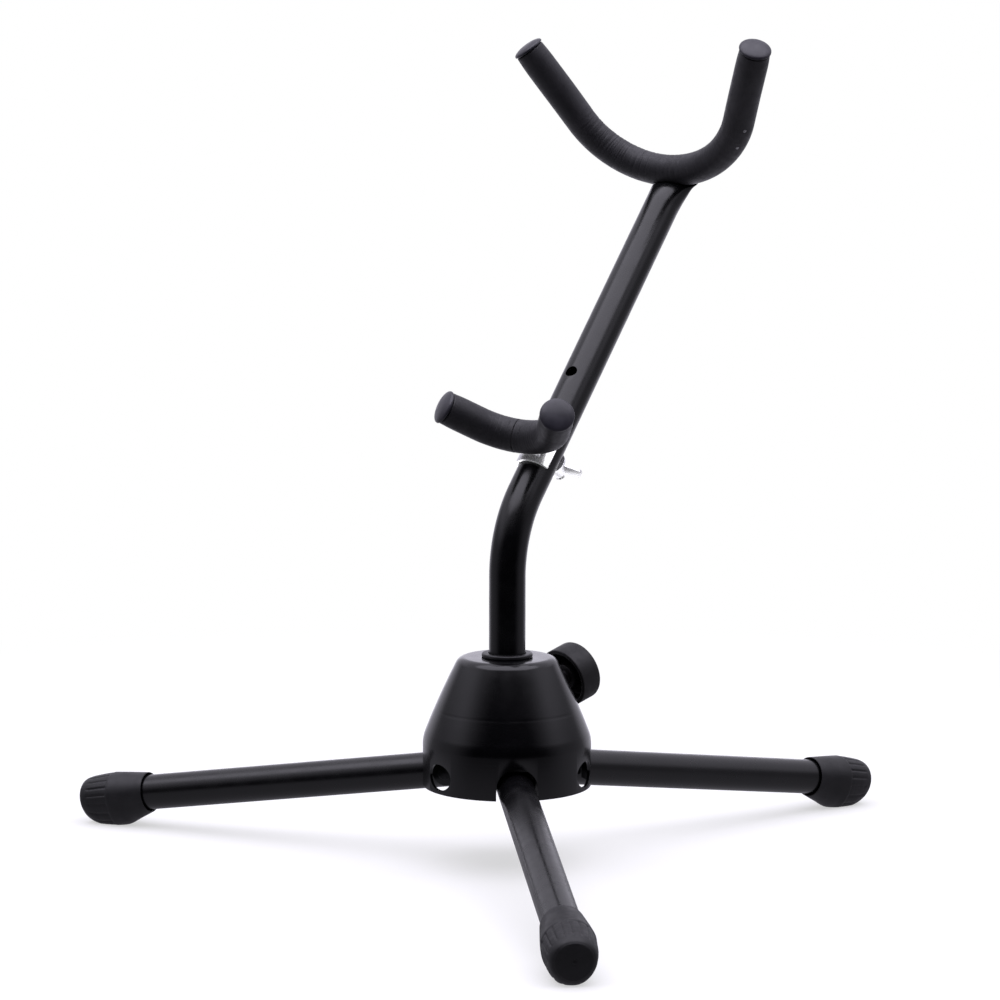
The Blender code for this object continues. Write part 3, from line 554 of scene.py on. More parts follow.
def foam(name, painted_light_gain, scuffs=()):
    """Charcoal closed-cell foam: pores, fine creases across the sleeve, a velvety edge; its colours
    are scaled up by a painted-light gain.
    """
    look = Recipe(name, (0.02, 0.02, 0.021), 0.6, Specular_IOR_Level=0.45,
                  Sheen_Weight=0.06, Sheen_Roughness=0.4)
    # Painted light: the foam colours are multiplied up to stand in for the light falling on the
    # sleeve
    dark, light, pore = (
        [part * painted_light_gain for part in color] for color in (*FOAM_COLORS, FOAM_PORE)
    )
    look.color(look.ramp(look.noise(55.0, 4.0), 0.32, 0.72), dark, light)
    pores = look.noise(2100.0, 2.0)
    look.overlay(look.ramp(pores, 0.62, 0.80, 0.0, 0.4), pore)
    for point, size in scuffs:
        patch = look.math("MULTIPLY", look.spot(point, size),
                          look.ramp(look.noise(1500.0, 3.0), 0.36, 0.48))
        look.overlay(patch, FOAM_SCUFF)
    along = look.node("Attribute", attribute_name="along").outputs["Fac"]
    drift = look.math("MULTIPLY", look.noise(70.0, 2.0), FOAM_DRIFT)
    travel = look.math("ADD", along, drift)
    band = look.node("CombineXYZ", {0: travel}).outputs[0]
    look.bump(look.noise(1050.0, 2.0, band), FOAM_FOLDS, 0.75)
    look.bump(pores, GRAIN, 0.16)
    look.roughness(300.0, 2.0, 0.3, 0.7, 0.47, 0.60)
    return look.material


def rubber(name):
    """Moulded rubber: matt, slightly dusty, with a fine grain."""
    look = Recipe(name, (0.018, 0.018, 0.019), 0.62, Specular_IOR_Level=0.40)
    look.color(look.ramp(look.noise(60.0, 4.0), 0.35, 0.7), *RUBBER_COLORS)
    dust = look.ramp(look.noise(420.0, 3.0), 0.66, 0.82, 0.0, 0.25)
    look.overlay(dust, RUBBER_DUST)
    look.bump(look.noise(900.0, 3.0), RUBBER_GRAIN, 0.22)
    look.roughness(160.0, 2.0, 0.3, 0.7, 0.42, 0.55)
    return look.material


def plastic(name, colors, roughness, grain, specular=0.45):
    """Moulded plastic with a spark-eroded grain."""
    look = Recipe(name, colors[0], roughness, Specular_IOR_Level=specular)
    look.color(look.ramp(look.noise(70.0, 3.0), 0.35, 0.7), *colors)
    look.roughness(260.0, 2.0, 0.3, 0.7, roughness - 0.05, roughness + 0.06)
    look.bump(look.noise(1600.0, 2.0), GRAIN, grain)
    return look.material


def zinc(name):
    """Bright zinc plate on stamped steel, with faint drawing marks and cloudy passivation."""
    look = Recipe(name, (0.85, 0.85, 0.87), 0.26, Metallic=0.75)
    look.color(look.ramp(look.noise(240.0, 3.0), 0.3, 0.75), *ZINC_COLORS)
    drawn = look.node("Mapping", {"Vector": look.place, "Scale": (1.0, 0.15, 1.0)})
    marks = look.noise(900.0, 2.0, drawn.outputs["Vector"])
    look.bump(marks, FAINT_GRAIN, 0.10)
    look.roughness(500.0, 3.0, 0.3, 0.7, 0.24, 0.36)
    return look.material


def black_steel(name):
    """A blackened steel thread, oily and uneven."""
    look = Recipe(name, (0.03, 0.03, 0.033), 0.45, Metallic=1.0)
    look.color(look.noise(500.0, 3.0), *STEEL_COLORS)
    look.roughness(700.0, 2.0, 0.3, 0.7, 0.38, 0.52)
    look.bump(look.noise(1500.0, 2.0), FAINT_GRAIN, 0.3)
    return look.material


def nylon(name):
    """Natural nylon, slightly translucent."""
    look = Recipe(name, (0.75, 0.74, 0.70), 0.5, Subsurface_Weight=0.1)
    look.color(look.noise(150.0, 3.0), *NYLON_COLORS)
    look.bump(look.noise(1300.0, 2.0), GRAIN, 0.3)
    return look.material


def install(piece, body, material, slot, *cad_nodes):
    """Gives a finished piece its material and its body, and hides the CAD nodes that it stands for.
    """
    piece.data.materials.clear()
    piece.data.materials.append(material)
    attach(piece, body)
    if cad_nodes:
        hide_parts(*cad_nodes)


# ---- hub

def hub_profile():
    # The sheet's inside face runs parallel to its outside
    lean = math.atan2(HUB_RADIUS - SHOULDER_RADIUS, HUB_TOP - HUB_KNUCKLE)
    shoulder = SHOULDER_RADIUS - SHEET * (1.0 - math.sin(lean)) / math.cos(lean)
    knuckle = HUB_KNUCKLE - SHEET * (1.0 - math.cos(lean)) / math.sin(lean)
    height, depth, half = HUB_GROOVE
    slope = (HUB_RADIUS - SHOULDER_RADIUS) / (HUB_TOP - HUB_KNUCKLE)

    def cone(z, sink=0.0):
        share = (HUB_TOP - z) / (HUB_TOP - HUB_KNUCKLE)
        swell = 4.0 * HUB_SWELL * share * (1.0 - share)
        return (SHOULDER_RADIUS + (HUB_TOP - z) * slope + swell - sink, z, 0.0)

    low, high = HUB_SWELL_SPAN
    upper_cone = [cone(z) for z in np.linspace(high, height + GROOVE_CLEAR, 10)]
    lower_cone = [cone(z) for z in np.linspace(height - GROOVE_CLEAR, low, 4)]
    corners = [
        (SLEEVE_INNER, HUB_TOP, HUB_EDGE),
        (SHOULDER_RADIUS, HUB_TOP, SHOULDER_ROUND),
        *upper_cone,
        cone(height + half), cone(height, depth), cone(height - half),
        *lower_cone,
        (HUB_RADIUS, HUB_KNUCKLE, KNUCKLE_ROUND),
        (HUB_RADIUS, HUB_RIM, HUB_EDGE),
        (HUB_RADIUS - SHEET, HUB_RIM, HUB_EDGE),
        (HUB_RADIUS - SHEET, knuckle, KNUCKLE_ROUND - SHEET),
        (shoulder, HUB_TOP - SHEET, SHOULDER_ROUND - SHEET),
        (SLEEVE_INNER, HUB_TOP - SHEET, HUB_EDGE),
    ]
    return rounded(corners, closed=True, steps=14)


def clamp_matrix():
    turn = math.radians(CLAMP_AZIMUTH)
    direction = Vector((
        math.cos(turn) * math.cos(CLAMP_RISE),
        math.sin(turn) * math.cos(CLAMP_RISE),
        math.sin(CLAMP_RISE),
    ))
    return axis_matrix(HOME + UP * CLAMP_HEIGHT, direction)


def build_hub():
    home = Matrix.Translation(HOME)
    shell = turned("hub", hub_profile(), home, HUB_SIDES, loop=True, sharp=32.0)
    half = SLOT_WIDTH / 2.0
    arch = arc((0.0, SLOT_ARCH_HEIGHT), half, 0.0, math.pi, 32)
    arch += [(-half, HUB_RIM - 5.0 * MM), (half, HUB_RIM - 5.0 * MM)]
    window = [
        (WINDOW_WIDTH / 2.0 * math.cos(a), WINDOW_LEVEL + WINDOW_HEIGHT / 2.0 * math.sin(a))
        for a in circle(56)
    ]
    tools = [drill("hub_screw_hole", SCREW_RADIUS + GAP, *HUB_DRILL, clamp_matrix())]
    for number, azimuth in enumerate(LEG_AZIMUTHS, 1):
        for kind, outline, turn in (("slot", arch, azimuth), ("window", window, azimuth + 60.0)):
            spin = Quaternion(UP, math.radians(turn))
            tools.append(extruded(
                f"{kind}_{number}", outline, HUB_RADIUS - SLOT_REACH, HUB_RADIUS + SLOT_REACH,
                lambda u, v, w: HOME + spin @ Vector((w, u, v)),
            ))
    shaped(shell, tools, bevel=0.35 * MM, sharp=32.0)
    coat = powder_coat("hub_coat", True, HUB_PEEL, HUB_SATIN)
    install(shell, "hub", coat, "powder_coat", "hub_shell")

    bore = TUBE_RADIUS + GAP
    outer = SLEEVE_INNER - GAP
    seat = HUB_TOP + GAP
    lip = seat + FLANGE_HEIGHT
    profile = rounded([
        (bore, lip, 0.4 * MM), (FLANGE_RADIUS, lip, 0.85 * MM), (FLANGE_RADIUS, seat, 0.25 * MM),
        (outer, seat, 0.2 * MM), (outer, BUSH_BOTTOM, 0.5 * MM), (bore, BUSH_BOTTOM, 0.5 * MM),
    ], closed=True, steps=6)
    bush = turned("post_bushing", profile, home, 96, loop=True)
    material = plastic("bushing_plastic", BUSHING_COLORS, 0.42, 0.25)
    install(bush, "swivel", material, "black_plastic", "top_bushing")


# ---- legs and feet

def leg_matrix(azimuth):
    spin = Quaternion(UP, math.radians(azimuth))
    pivot = HOME + spin @ Vector((PIVOT_RADIUS, 0.0, 0.0)) + UP * PIVOT_HEIGHT
    tilt = spin @ Quaternion((0.0, 1.0, 0.0), LEG_DROP)
    return Matrix.Translation(pivot) @ tilt.to_matrix().to_4x4()


def leg_rings(sections, angles):
    """Rings round a leg's axis from (distance, radius, slant) sections."""
    rings = []
    for x, radius, slant in sections:
        y, z = radius * np.cos(angles), radius * np.sin(angles)
        rings.append(np.stack([x + slant * z, y, z], -1))
    return rings


def build_leg_tube(number, place, material):
    end = LEG_TIP - FOOT_END_WALL
    bore = TUBE_RADIUS - TUBE_WALL
    edge = 0.3 * MM
    start, slant = LEG_INNER_MIDDLE, LEG_INNER_SLANT
    sections = [(start, TUBE_RADIUS - edge, slant), (start + edge, TUBE_RADIUS, slant)]
    sections += [(x, TUBE_RADIUS, slant * (1.0 - (x - start) / (end - start)))
                 for x in np.linspace(start + 6.0 * MM, end - edge, 12)]
    sections += [(end, TUBE_RADIUS - edge, 0.0), (end, bore, 0.0), (start, bore, slant)]
    rings = leg_rings(sections, circle(TUBE_SIDES))
    tube = grid_piece(f"leg_{number}_tube", placed(rings, place), loop=True)
    pin = place @ Matrix.Rotation(math.pi / 2.0, 4, "X")
    hole = drill("leg_pin_hole", PIN_RADIUS + GAP, -DRILL_REACH, DRILL_REACH, pin, 28)
    shaped(tube, [hole], bevel=0.2 * MM)
    install(tube, f"leg_{number}", material, "powder_coat", f"leg_tube_{number}")


def build_foot(number, place, material):
    """Fluted from its widest place to the end, with grooves round the tip, flat on the floor."""
    mouth = LEG_TIP - FOOT_LENGTH
    bore = TUBE_RADIUS + GAP
    angles = circle(FOOT_SIDES)
    rise = np.sin(angles)
    tip = FOOT_STATIONS[-1][0]
    distance = np.concatenate([
        np.arange(0.0, FOOT_PLAIN_END, 0.7), np.arange(FOOT_PLAIN_END, tip, 0.22), [tip],
    ])
    shape = smooth_table(FOOT_STATIONS, distance) * MM
    above, side, below = (shape[:, k][:, None] for k in range(3))
    x = (mouth + distance * MM)[:, None] + 0.0 * angles
    y = side * np.cos(angles)
    z = np.where(rise < 0.0, below, above) * rise
    # Inward relief: a step behind the widest place, flutes, and grooves round the tip
    start, stop = FOOT_FLUTE_SPAN
    fluted = (smoothstep(start, start + 1.6, distance)
              * (1.0 - smoothstep(stop - 3.5, stop, distance)))[:, None]
    pitch = (angles * FOOT_FLUTES / (2.0 * math.pi)) % 1.0 - 0.5
    flute = np.exp(-(pitch / FOOT_FLUTE_WIDTH) ** 2)[None, :]
    rings = sum(np.exp(-((distance - at) / FOOT_RING_WIDTH) ** 2) for at in FOOT_RINGS)[:, None]
    step = smoothstep(start, start + 0.7, distance)[:, None]
    sink = FOOT_FLUTE_DEPTH * fluted * flute + FOOT_RING_DEPTH * rings + FOOT_STEP * step
    size = np.hypot(y, z)
    y, z = y * (1.0 - sink / size), z * (1.0 - sink / size)
    outer = np.stack([x, y, z], -1)

    def face(share, bulge):
        last = outer[-1]
        ring = last * np.array([0.0, share, share])
        ring[:, 0] = last[:, 0] + bulge * MM
        return ring

    seat = LEG_TIP - FOOT_END_WALL + GAP
    inner = leg_rings([(seat, bore * 0.02, 0.0), (seat, bore, 0.0)] + [
        (mouth + ahead * MM, bore + flare * MM, 0.0) for ahead, flare in FOOT_MOUTH
    ], angles)
    points = placed(inner + list(outer) + [face(*row) for row in FOOT_FACE], place)
    points[..., 2] = np.maximum(points[..., 2], 0.0)
    foot = grid_piece(f"foot_{number}", points, sharp=50.0)
    install(foot, f"leg_{number}", material, "rubber", f"rubber_foot_{number}")


def build_pin(number, place, material):
    head = PIN_HEAD_SEAT + PIN_HEAD_HEIGHT
    half = rounded([
        (PIN_RADIUS, PIN_HEAD_SEAT, 0.0), (PIN_HEAD_RADIUS, PIN_HEAD_SEAT, 0.25 * MM),
        (PIN_HEAD_RADIUS, head - 0.35 * MM, 1.1 * MM), (0.0, head, 0.0),
    ], steps=6)
    mirrored = half[::-1] * np.array([1.0, -1.0])
    axis = place @ Matrix.Rotation(math.pi / 2.0, 4, "X")
    pin = turned(f"leg_{number}_pin", np.vstack([mirrored, half]), axis, 48)
    install(pin, "hub", material, "black_steel", f"leg_pin_{number}")


def build_legs():
    coat = powder_coat("leg_coat", peel=LEG_PEEL)
    grip, steel = rubber("foot_rubber"), black_steel("pin_steel")
    for number, azimuth in enumerate(LEG_AZIMUTHS, 1):
        place = leg_matrix(azimuth)
        build_leg_tube(number, place, coat)
        build_foot(number, place, grip)
        build_pin(number, place, steel)


# ---- clamp

def build_clamp():
    axis = clamp_matrix()
    bore = SCREW_RADIUS + GAP
    web = KNOB_END - KNOB_WEB
    boss = KNOB_START + 1.5 * MM
    lip = KNOB_RADIUS - KNOB_WALL
    profile = rounded([
        (0.0, SCREW_END + GAP, 0.0), (bore, SCREW_END + GAP, 0.0), (bore, boss, 0.4 * MM),
        (BOSS_RADIUS, boss, 0.5 * MM), (BOSS_RADIUS + 0.3 * MM, web, 0.8 * MM),
        (lip - 0.6 * MM, web, 1.0 * MM), (lip, KNOB_START, 0.6 * MM),
        (KNOB_RADIUS, KNOB_START, 0.7 * MM), (KNOB_RADIUS, KNOB_END, 2.0 * MM),
        (3.0 * MM, KNOB_END + 0.25 * MM, 1.0 * MM), (0.0, KNOB_END + 0.3 * MM, 0.0),
    ], steps=8)
    knob = turned("knob", profile, axis, 128)
    material = plastic("knob_plastic", KNOB_COLORS, 0.50, 0.40, 0.38)
    install(knob, "clamp", material, "black_plastic", "clamp_knob")
    screw = threaded("clamp_thread", SCREW_RADIUS, SCREW_PITCH, SCREW_START, SCREW_END, axis,
                     0.6 * MM)
    install(screw, "clamp", black_steel("screw_steel"), "black_steel", "clamp_screw")


# ---- post

def post_rings(stations, inset=0.0):
    angles = circle(TUBE_SIDES)
    rings = []
    for center, forward, width, thickness in stations:
        across = np.outer(np.cos(angles) * (width - inset), RIGHT)
        ahead = np.outer(np.sin(angles) * max(thickness - inset, 0.15 * MM), forward)
        rings.append(np.array(center) + across + ahead)
    return rings


def flattened_stations(start):
    """The post's pressed top, from a distance up the lean to its end."""
    at = np.concatenate([
        np.arange(start, 209.0, 1.0), np.arange(209.0, 218.0, 0.5), [219.0, 226.0],
    ])
    shape = smooth_table(POST_FLATTENING, at)
    return [
        (on_post(up * MM, forward * MM), POST_FORWARD, width * MM, thickness * MM)
        for up, (width, thickness, forward) in zip(at, shape)
    ]


def post_stations():
    straight = TUBE_RADIUS
    ahead = Vector((0.0, -1.0, 0.0))
    heights = np.linspace(POST_BOTTOM, BEND_START, 18)[:-1]
    stations = [(HOME + UP * z, ahead, straight, straight) for z in heights]
    for angle in np.linspace(0.0, POST_LEAN, 30):
        place, forward = post_bend(angle)
        # A bent tube flattens a little: wider across, thinner through the bend
        squeeze = POST_SQUEEZE * math.sin(math.pi * angle / POST_LEAN)
        stations.append((HOME + place, forward, straight + squeeze, straight - squeeze))
    stations += [(on_post(up, 0.0), POST_FORWARD, straight, straight)
                 for up in np.linspace(6.0, 186.0, 31) * MM]
    return stations + flattened_stations(190.0)


def stud_matrix():
    turn = Matrix((RIGHT, -POST_UP, -POST_FORWARD)).transposed().to_4x4()
    return Matrix.Translation(on_post(HOLE_LOWER, 0.0)) @ turn


def build_post():
    stations = post_stations()
    rings = post_rings(stations) + post_rings(stations, TUBE_WALL)[::-1]
    post = grid_piece("post", rings, loop=True)
    tools = [
        drill(f"post_hole_{number}", HOLE_RADIUS, -DRILL_REACH, DRILL_REACH,
              stud_matrix() @ Matrix.Translation((0.0, -up, 0.0)), 48)
        for number, up in enumerate((0.0, HOLE_UPPER - HOLE_LOWER))
    ]
    shaped(post, tools, bevel=0.25 * MM)
    install(post, "post", powder_coat("post_coat"), "powder_coat", "post_tube")


# ---- yokes

def yoke_rise(yoke):
    return Vector((0.0, -math.sin(yoke["tilt"]), math.cos(yoke["tilt"])))


def yoke_frame(yoke, angle):
    """Centre, direction of travel and inward direction at an angle on a yoke's arc."""
    bottom, rise = on_post(yoke["up_post"], yoke["forward"]), yoke_rise(yoke)
    travel = RIGHT * math.cos(angle) + rise * math.sin(angle)
    inward = rise * math.cos(angle) - RIGHT * math.sin(angle)
    across = yoke["radius"] * math.sin(angle)
    above = yoke["radius"] * (1.0 - math.cos(angle))
    return bottom + RIGHT * across + rise * above, travel, inward


def yoke_path(yoke, start, end):
    """Centre, inward direction and distance along, from one end of a sleeve to the other."""
    radius, half, arm = yoke["radius"], yoke["half_angle"], yoke["arm"]
    points = []

    def add(angle, out, side):
        center, travel, inward = yoke_frame(yoke, angle)
        points.append((center + travel * (side * out), inward, radius * angle + side * out))

    arm_steps = int(arm / FOAM_STEP)
    if start <= -half:
        for i in range(arm_steps):
            add(-half, arm * (1.0 - i / arm_steps), -1)
    steps = int(radius * (end - start) / FOAM_STEP)
    for i in range(steps + 1):
        add(start + (end - start) * i / steps, 0.0, 1)
    if end >= half:
        for i in range(1, arm_steps + 1):
            add(half, arm * i / arm_steps, 1)
    return points


def creases(along, around, yoke, seed, depth):
    """How far the foam's skin is drawn in: fine folds across the sleeve, inside the bend."""
    dice = np.random.default_rng(seed)
    edge = yoke["radius"] * yoke["half_angle"]
    sunk = np.zeros((len(along), len(around)))
    before, past = CREASE_FADE
    at = -edge - past
    while at < edge + past:
        at += dice.uniform(*CREASE_PITCH)
        strength = depth * dice.uniform(0.25, 1.0)
        strength *= float(1.0 - smoothstep(edge - before, edge + past, abs(at)))
        width = dice.uniform(*CREASE_WIDTH)
        middle, spread = dice.uniform(-0.5, 0.5), dice.uniform(0.7, 1.5)
        skew = dice.uniform(-CREASE_SKEW, CREASE_SKEW)
        reach = np.exp(-((around - middle) / spread) ** 2)
        sunk += strength * reach * np.exp(-((along[:, None] - at - skew * around) / width) ** 2)
    return sunk


def foam_sleeve(name, yoke, start, end, seed, depth, edges=(CAP_END_ROUND, CAP_END_ROUND)):
    path = yoke_path(yoke, start, end)
    normal = RIGHT.cross(yoke_rise(yoke))
    along = np.array([item[2] for item in path])
    around = np.linspace(-math.pi, math.pi, FOAM_SIDES, endpoint=False)
    sunk = creases(along, around, yoke, seed, depth)
    dice = np.random.default_rng(seed + 1)
    waves = sum(
        dice.uniform(*WAVE_DEPTH) * np.sin(along[:, None] / (dice.uniform(5.0, 14.0) * MM)
                                           + dice.uniform(0, 6) + k * around)
        for k in range(4)
    )
    drop = np.zeros_like(along)
    for edge, reach in zip(edges, (along - along[0], along[-1] - along)):
        drop += edge - np.sqrt(np.maximum(edge**2 - np.maximum(edge - reach, 0.0) ** 2, 0.0))
        if edge == CAP_END_ROUND:
            drop += FOAM_PINCH * np.exp(-(reach / FOAM_PINCH_REACH) ** 2)
    radius = yoke["foam_radius"] - sunk + waves - drop[:, None]
    center = np.array([tuple(item[0]) for item in path])[:, None, :]
    inward = np.array([tuple(item[1]) for item in path])[:, None, :]
    side = np.array(normal)[None, None, :]
    cosine, sine = np.cos(around)[None, :, None], np.sin(around)[None, :, None]
    outer = center + (inward * cosine + side * sine) * radius[..., None]
    inner = center + (inward * cosine + side * sine) * (YOKE_TUBE_RADIUS + GAP)
    sparse = np.unique(np.append(np.arange(0, len(path), 8), len(path) - 1))
    rings = np.concatenate([outer, inner[sparse][::-1]])
    distance = np.concatenate([along, along[sparse][::-1]])
    return grid_piece(name, rings, loop=True, sharp=60.0, along=distance)


def build_cap(name, yoke, side, material):
    center, travel, _ = yoke_frame(yoke, side * yoke["half_angle"])
    outward = travel * side
    center += outward * yoke["arm"]
    plug = YOKE_TUBE_RADIUS - YOKE_TUBE_WALL - GAP
    brim = yoke["foam_radius"] + 0.1 * MM
    profile = rounded([
        (0.0, -CAP_PLUG_DEPTH, 0.0), (plug, -CAP_PLUG_DEPTH, 0.6 * MM), (plug, GAP, 0.0),
        (brim - 0.5 * MM, GAP, 0.2 * MM), (brim, GAP + 0.35 * MM, 0.3 * MM),
        (brim, GAP + CAP_EDGE, 0.3 * MM),
    ], steps=5).tolist()
    dome = CAP_HEIGHT - CAP_EDGE
    for share in np.linspace(0.08, 1.0, 18)[:-1]:
        turn = math.pi / 2.0 * share
        profile.append((brim * math.cos(turn), GAP + CAP_EDGE + dome * math.sin(turn)))
    profile.append((0.0, GAP + CAP_HEIGHT))
    cap = turned(f"{name}_piece", profile, axis_matrix(center, outward), 96)
    install(cap, "post", material, "cap_plastic", name)


def post_block(half_width, half_height, back, front, name):
    middle = LOWER_YOKE["up_post"]
    corners = ((-1, -1), (1, -1), (1, 1), (-1, 1))
    return grid_piece(name, [
        [on_post(middle + v * half_height, n, u * half_width) for u, v in corners]
        for n in (back, front)
    ])


def foam_point(yoke, angle, arm, around):
    """A point on the skin of a yoke's foam, by its place on the arc and round the sleeve."""
    center, travel, inward = yoke_frame(yoke, angle)
    skin = inward * math.cos(around) + RIGHT.cross(yoke_rise(yoke)) * math.sin(around)
    return center + travel * arm + skin * yoke["foam_radius"]


# Two scuffs on the outside of the right arm
SCUFFS = [
    (foam_point(UPPER_YOKE, UPPER_YOKE["half_angle"] - back, out, math.radians(around)), size)
    for back, out, around, size in (
        (0.0, 0.1 * MM, 140.0, 1.25 * MM),
        (0.195, 0.0, 134.0, 1.15 * MM),
    )
]


def build_yokes():
    caps = plastic("cap_satin", CAP_COLORS, 0.36, 0.10, 0.5)
    half = UPPER_YOKE["half_angle"]
    upper = foam_sleeve("upper_grip", UPPER_YOKE, -half, half, SEED, UPPER_CREASE)
    tongue = flattened_stations(205.0)
    center, forward, width, thickness = tongue[-1]
    tongue[-1] = (center + POST_UP * GAP, forward, width, thickness)
    shaped(upper, [grid_piece("tongue_slit", post_rings(tongue, -GAP))], sharp=60.0)
    # The upper sleeve's foam is painted brighter than the lower one's, as painted light
    install(upper, "post", foam("upper_foam_skin", UPPER_FOAM_PAINTED_LIGHT, SCUFFS), "foam", "upper_foam")

    half = LOWER_YOKE["half_angle"]
    seam = math.asin(LOWER_FOAM_SEAM / LOWER_YOKE["radius"])
    slack = GAP / 2.0 / LOWER_YOKE["radius"]
    skin = foam("lower_foam_skin", LOWER_FOAM_PAINTED_LIGHT)
    for word, start, end, seed, edges in (
        ("left", -half, seam - slack, SEED + 10, (CAP_END_ROUND, SEAM_ROUND)),
        ("right", seam + slack, half, SEED + 20, (SEAM_ROUND, CAP_END_ROUND)),
    ):
        sleeve = foam_sleeve(f"lower_grip_{word}", LOWER_YOKE, start, end, seed, LOWER_CREASE,
                             edges)
        slit = post_block(SLIT_HALF_WIDTH, SLIT_HALF_HEIGHT, SLIT_BACK, WELD_FACE + GAP, "slit")
        shaped(sleeve, [slit], sharp=60.0)
        install(sleeve, "post", skin, "foam", f"lower_foam_{word}")
    for height, yoke in (("upper", UPPER_YOKE), ("lower", LOWER_YOKE)):
        for side, word in ((-1, "left"), (1, "right")):
            build_cap(f"{height}_end_cap_{word}", yoke, side, caps)


# ---- saddle and its fixing

def build_saddle():
    angles = np.linspace(-SADDLE_HALF_ANGLE, SADDLE_HALF_ANGLE, 41)
    section = [(SADDLE_OUTER * math.sin(a), SADDLE_OUTER * math.cos(a)) for a in angles]
    section += [(SADDLE_INNER * math.sin(a), SADDLE_INNER * math.cos(a)) for a in angles[::-1]]
    saddle = extruded("saddle", section, SADDLE_START, SADDLE_END, lambda u, v, w: on_post(w, v, u))
    back = SADDLE_INNER + 0.7 * MM
    weld = post_block(WELD_HALF_WIDTH, WELD_HALF_HEIGHT, back, WELD_FACE, "weld")
    hole = drill("saddle_hole", STUD_RADIUS + GAP, -DRILL_REACH, 0.0, stud_matrix())
    shaped(saddle, [hole], [weld], bevel=0.3 * MM)
    install(saddle, "post", zinc("saddle_zinc"), "zinc", "saddle_bracket")


def build_fixing():
    axis = stud_matrix()
    stud = threaded("stud", STUD_RADIUS, STUD_PITCH, -STUD_FRONT, STUD_BACK, axis, 0.5 * MM)
    install(stud, "post", zinc("stud_zinc"), "zinc", "yoke_stud")
    seat = TUBE_RADIUS + GAP
    bore = STUD_RADIUS + GAP
    face = seat + WASHER_THICKNESS
    profile = rounded([
        (bore, face, 0.15 * MM), (WASHER_RADIUS, face, 0.3 * MM),
        (WASHER_RADIUS, seat, 0.15 * MM), (bore, seat, 0.15 * MM),
    ], closed=True, steps=4)
    washer = turned("washer_piece", profile, axis, 80, loop=True)
    install(washer, "washer", zinc("washer_zinc"), "zinc", "yoke_washer")

    start = face + GAP
    top = start + WING_HUB_HEIGHT
    profile = rounded([
        (0.0, start, 0.0), (WING_HUB_RADIUS, start, 0.3 * MM),
        (WING_HUB_RADIUS - 0.9 * MM, top, 0.7 * MM), (0.0, top, 0.0),
    ], steps=5)
    nut = turned("wing_nut_piece", profile, axis, 72)
    out, above, radius = WING_TIP
    ear = [(3.6 * MM, start + 1.2 * MM), (6.0 * MM, start + 1.4 * MM)]
    ear += arc((out, top + above), radius, math.radians(-50.0), math.radians(150.0), 28)
    ear += [(3.6 * MM, top - 1.0 * MM)]
    spin = Quaternion(UP, WING_TURN)
    ears = [
        extruded(f"ear_{side}", ear, -WING_SHEET / 2.0, WING_SHEET / 2.0,
                 lambda u, v, w: axis @ (spin @ Vector((side * u, w, v))))
        for side in (1, -1)
    ]
    bore_tool = drill("wing_bore", bore, start - 2.0 * MM, top + 4.0 * MM, axis)
    shaped(nut, [bore_tool], ears, bevel=0.3 * MM, sharp=35.0)
    install(nut, "wing", zinc("wing_zinc"), "zinc", "wing_nut")


# ---- parts that keep their CAD mesh

def dress_cad_nodes():
    brackets = [f"leg_bracket_{number}" for number in (1, 2, 3)]
    coated = ("post_sleeve", "upper_yoke_tube", "lower_yoke_tube", *brackets)
    finishes = dict.fromkeys(coated, powder_coat("inner_coat"))
    finishes["lower_guide_bush"] = plastic("guide_plastic", GUIDE_COLORS, 0.5, 0.4)
    finishes["clamp_nut"] = zinc("nut_zinc")
    finishes["clamp_pad"] = nylon("pad_nylon")
    for name, material in finishes.items():
        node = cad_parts[name]
        for slot in node.material_slots:
            slot.material = material
        if name in ("clamp_nut", *brackets):
            add_bevel(node, 0.3 * MM)


# ---- studio

CAMERA_PLACE = Vector((0.989801, -1.511058, 0.428))  # from the post's foot
CAMERA_AZIMUTH = math.radians(33.35)
CAMERA_PITCH = math.radians(7.475)
CAMERA_ROLL = math.radians(0.12)
CAMERA_LENS = 126.97

OVERHEAD_LEVEL = 2.55
OVERHEAD_EDGE = (0.62, 0.76)  # sine of the elevation where the soft box starts and is full
OVERHEAD_SHIFTS = ((0.0, 0.5, 0.18), (-0.45, -0.65, 0.07))  # raises it at the back, in front
LIGHT_TINT = (0.94, 0.915, 1.04, 1.0)
FLOOR_REACH = 30.0
FLOOR_DROP = 0.1 * MM
FLOOR_GLOW = 0.56  # what a shadowed floor still shows
FLOOR_TONE = 0.44  # what the light adds to it
FLOOR_NEAR = 0.35  # brightness seen by the stand in the floor under it
FLOOR_NEAR_SPAN = (0.12, 0.50)
FLOOR_WHITE_SPAN = (0.30, 0.75)  # the floor turns pure white over this distance
BOUNCE_SIZE, BOUNCE_POWER = 1.6, 14.0
KEY_SIZE, KEY_POWER = 1.0, 9.0
KEY_AIM, KEY_DISTANCE = 0.22, 1.1  # height that it points at, and how far from there it is
FIXING_SHARE = 0.6  # of both powers, for the stud, washer and wing nut

AWAY = Vector((-math.sin(CAMERA_AZIMUTH), math.cos(CAMERA_AZIMUTH), 0.0))
ACROSS = Vector((math.cos(CAMERA_AZIMUTH), math.sin(CAMERA_AZIMUTH), 0.0))


def build_camera():
    forward = AWAY * math.cos(CAMERA_PITCH) - UP * math.sin(CAMERA_PITCH)
    above = ACROSS.cross(forward)
    right = ACROSS * math.cos(CAMERA_ROLL) + above * math.sin(CAMERA_ROLL)
    above = above * math.cos(CAMERA_ROLL) - ACROSS * math.sin(CAMERA_ROLL)
    data = bpy.data.cameras.new("camera")
    data.lens = CAMERA_LENS
    data.sensor_width = 36.0
    data.clip_end = 60.0
    camera = new_object("camera", data)
    turn = Matrix((right, above, -forward)).transposed().to_4x4()
    camera.matrix_world = Matrix.Translation(HOME + CAMERA_PLACE) @ turn
    bpy.context.scene.camera = camera


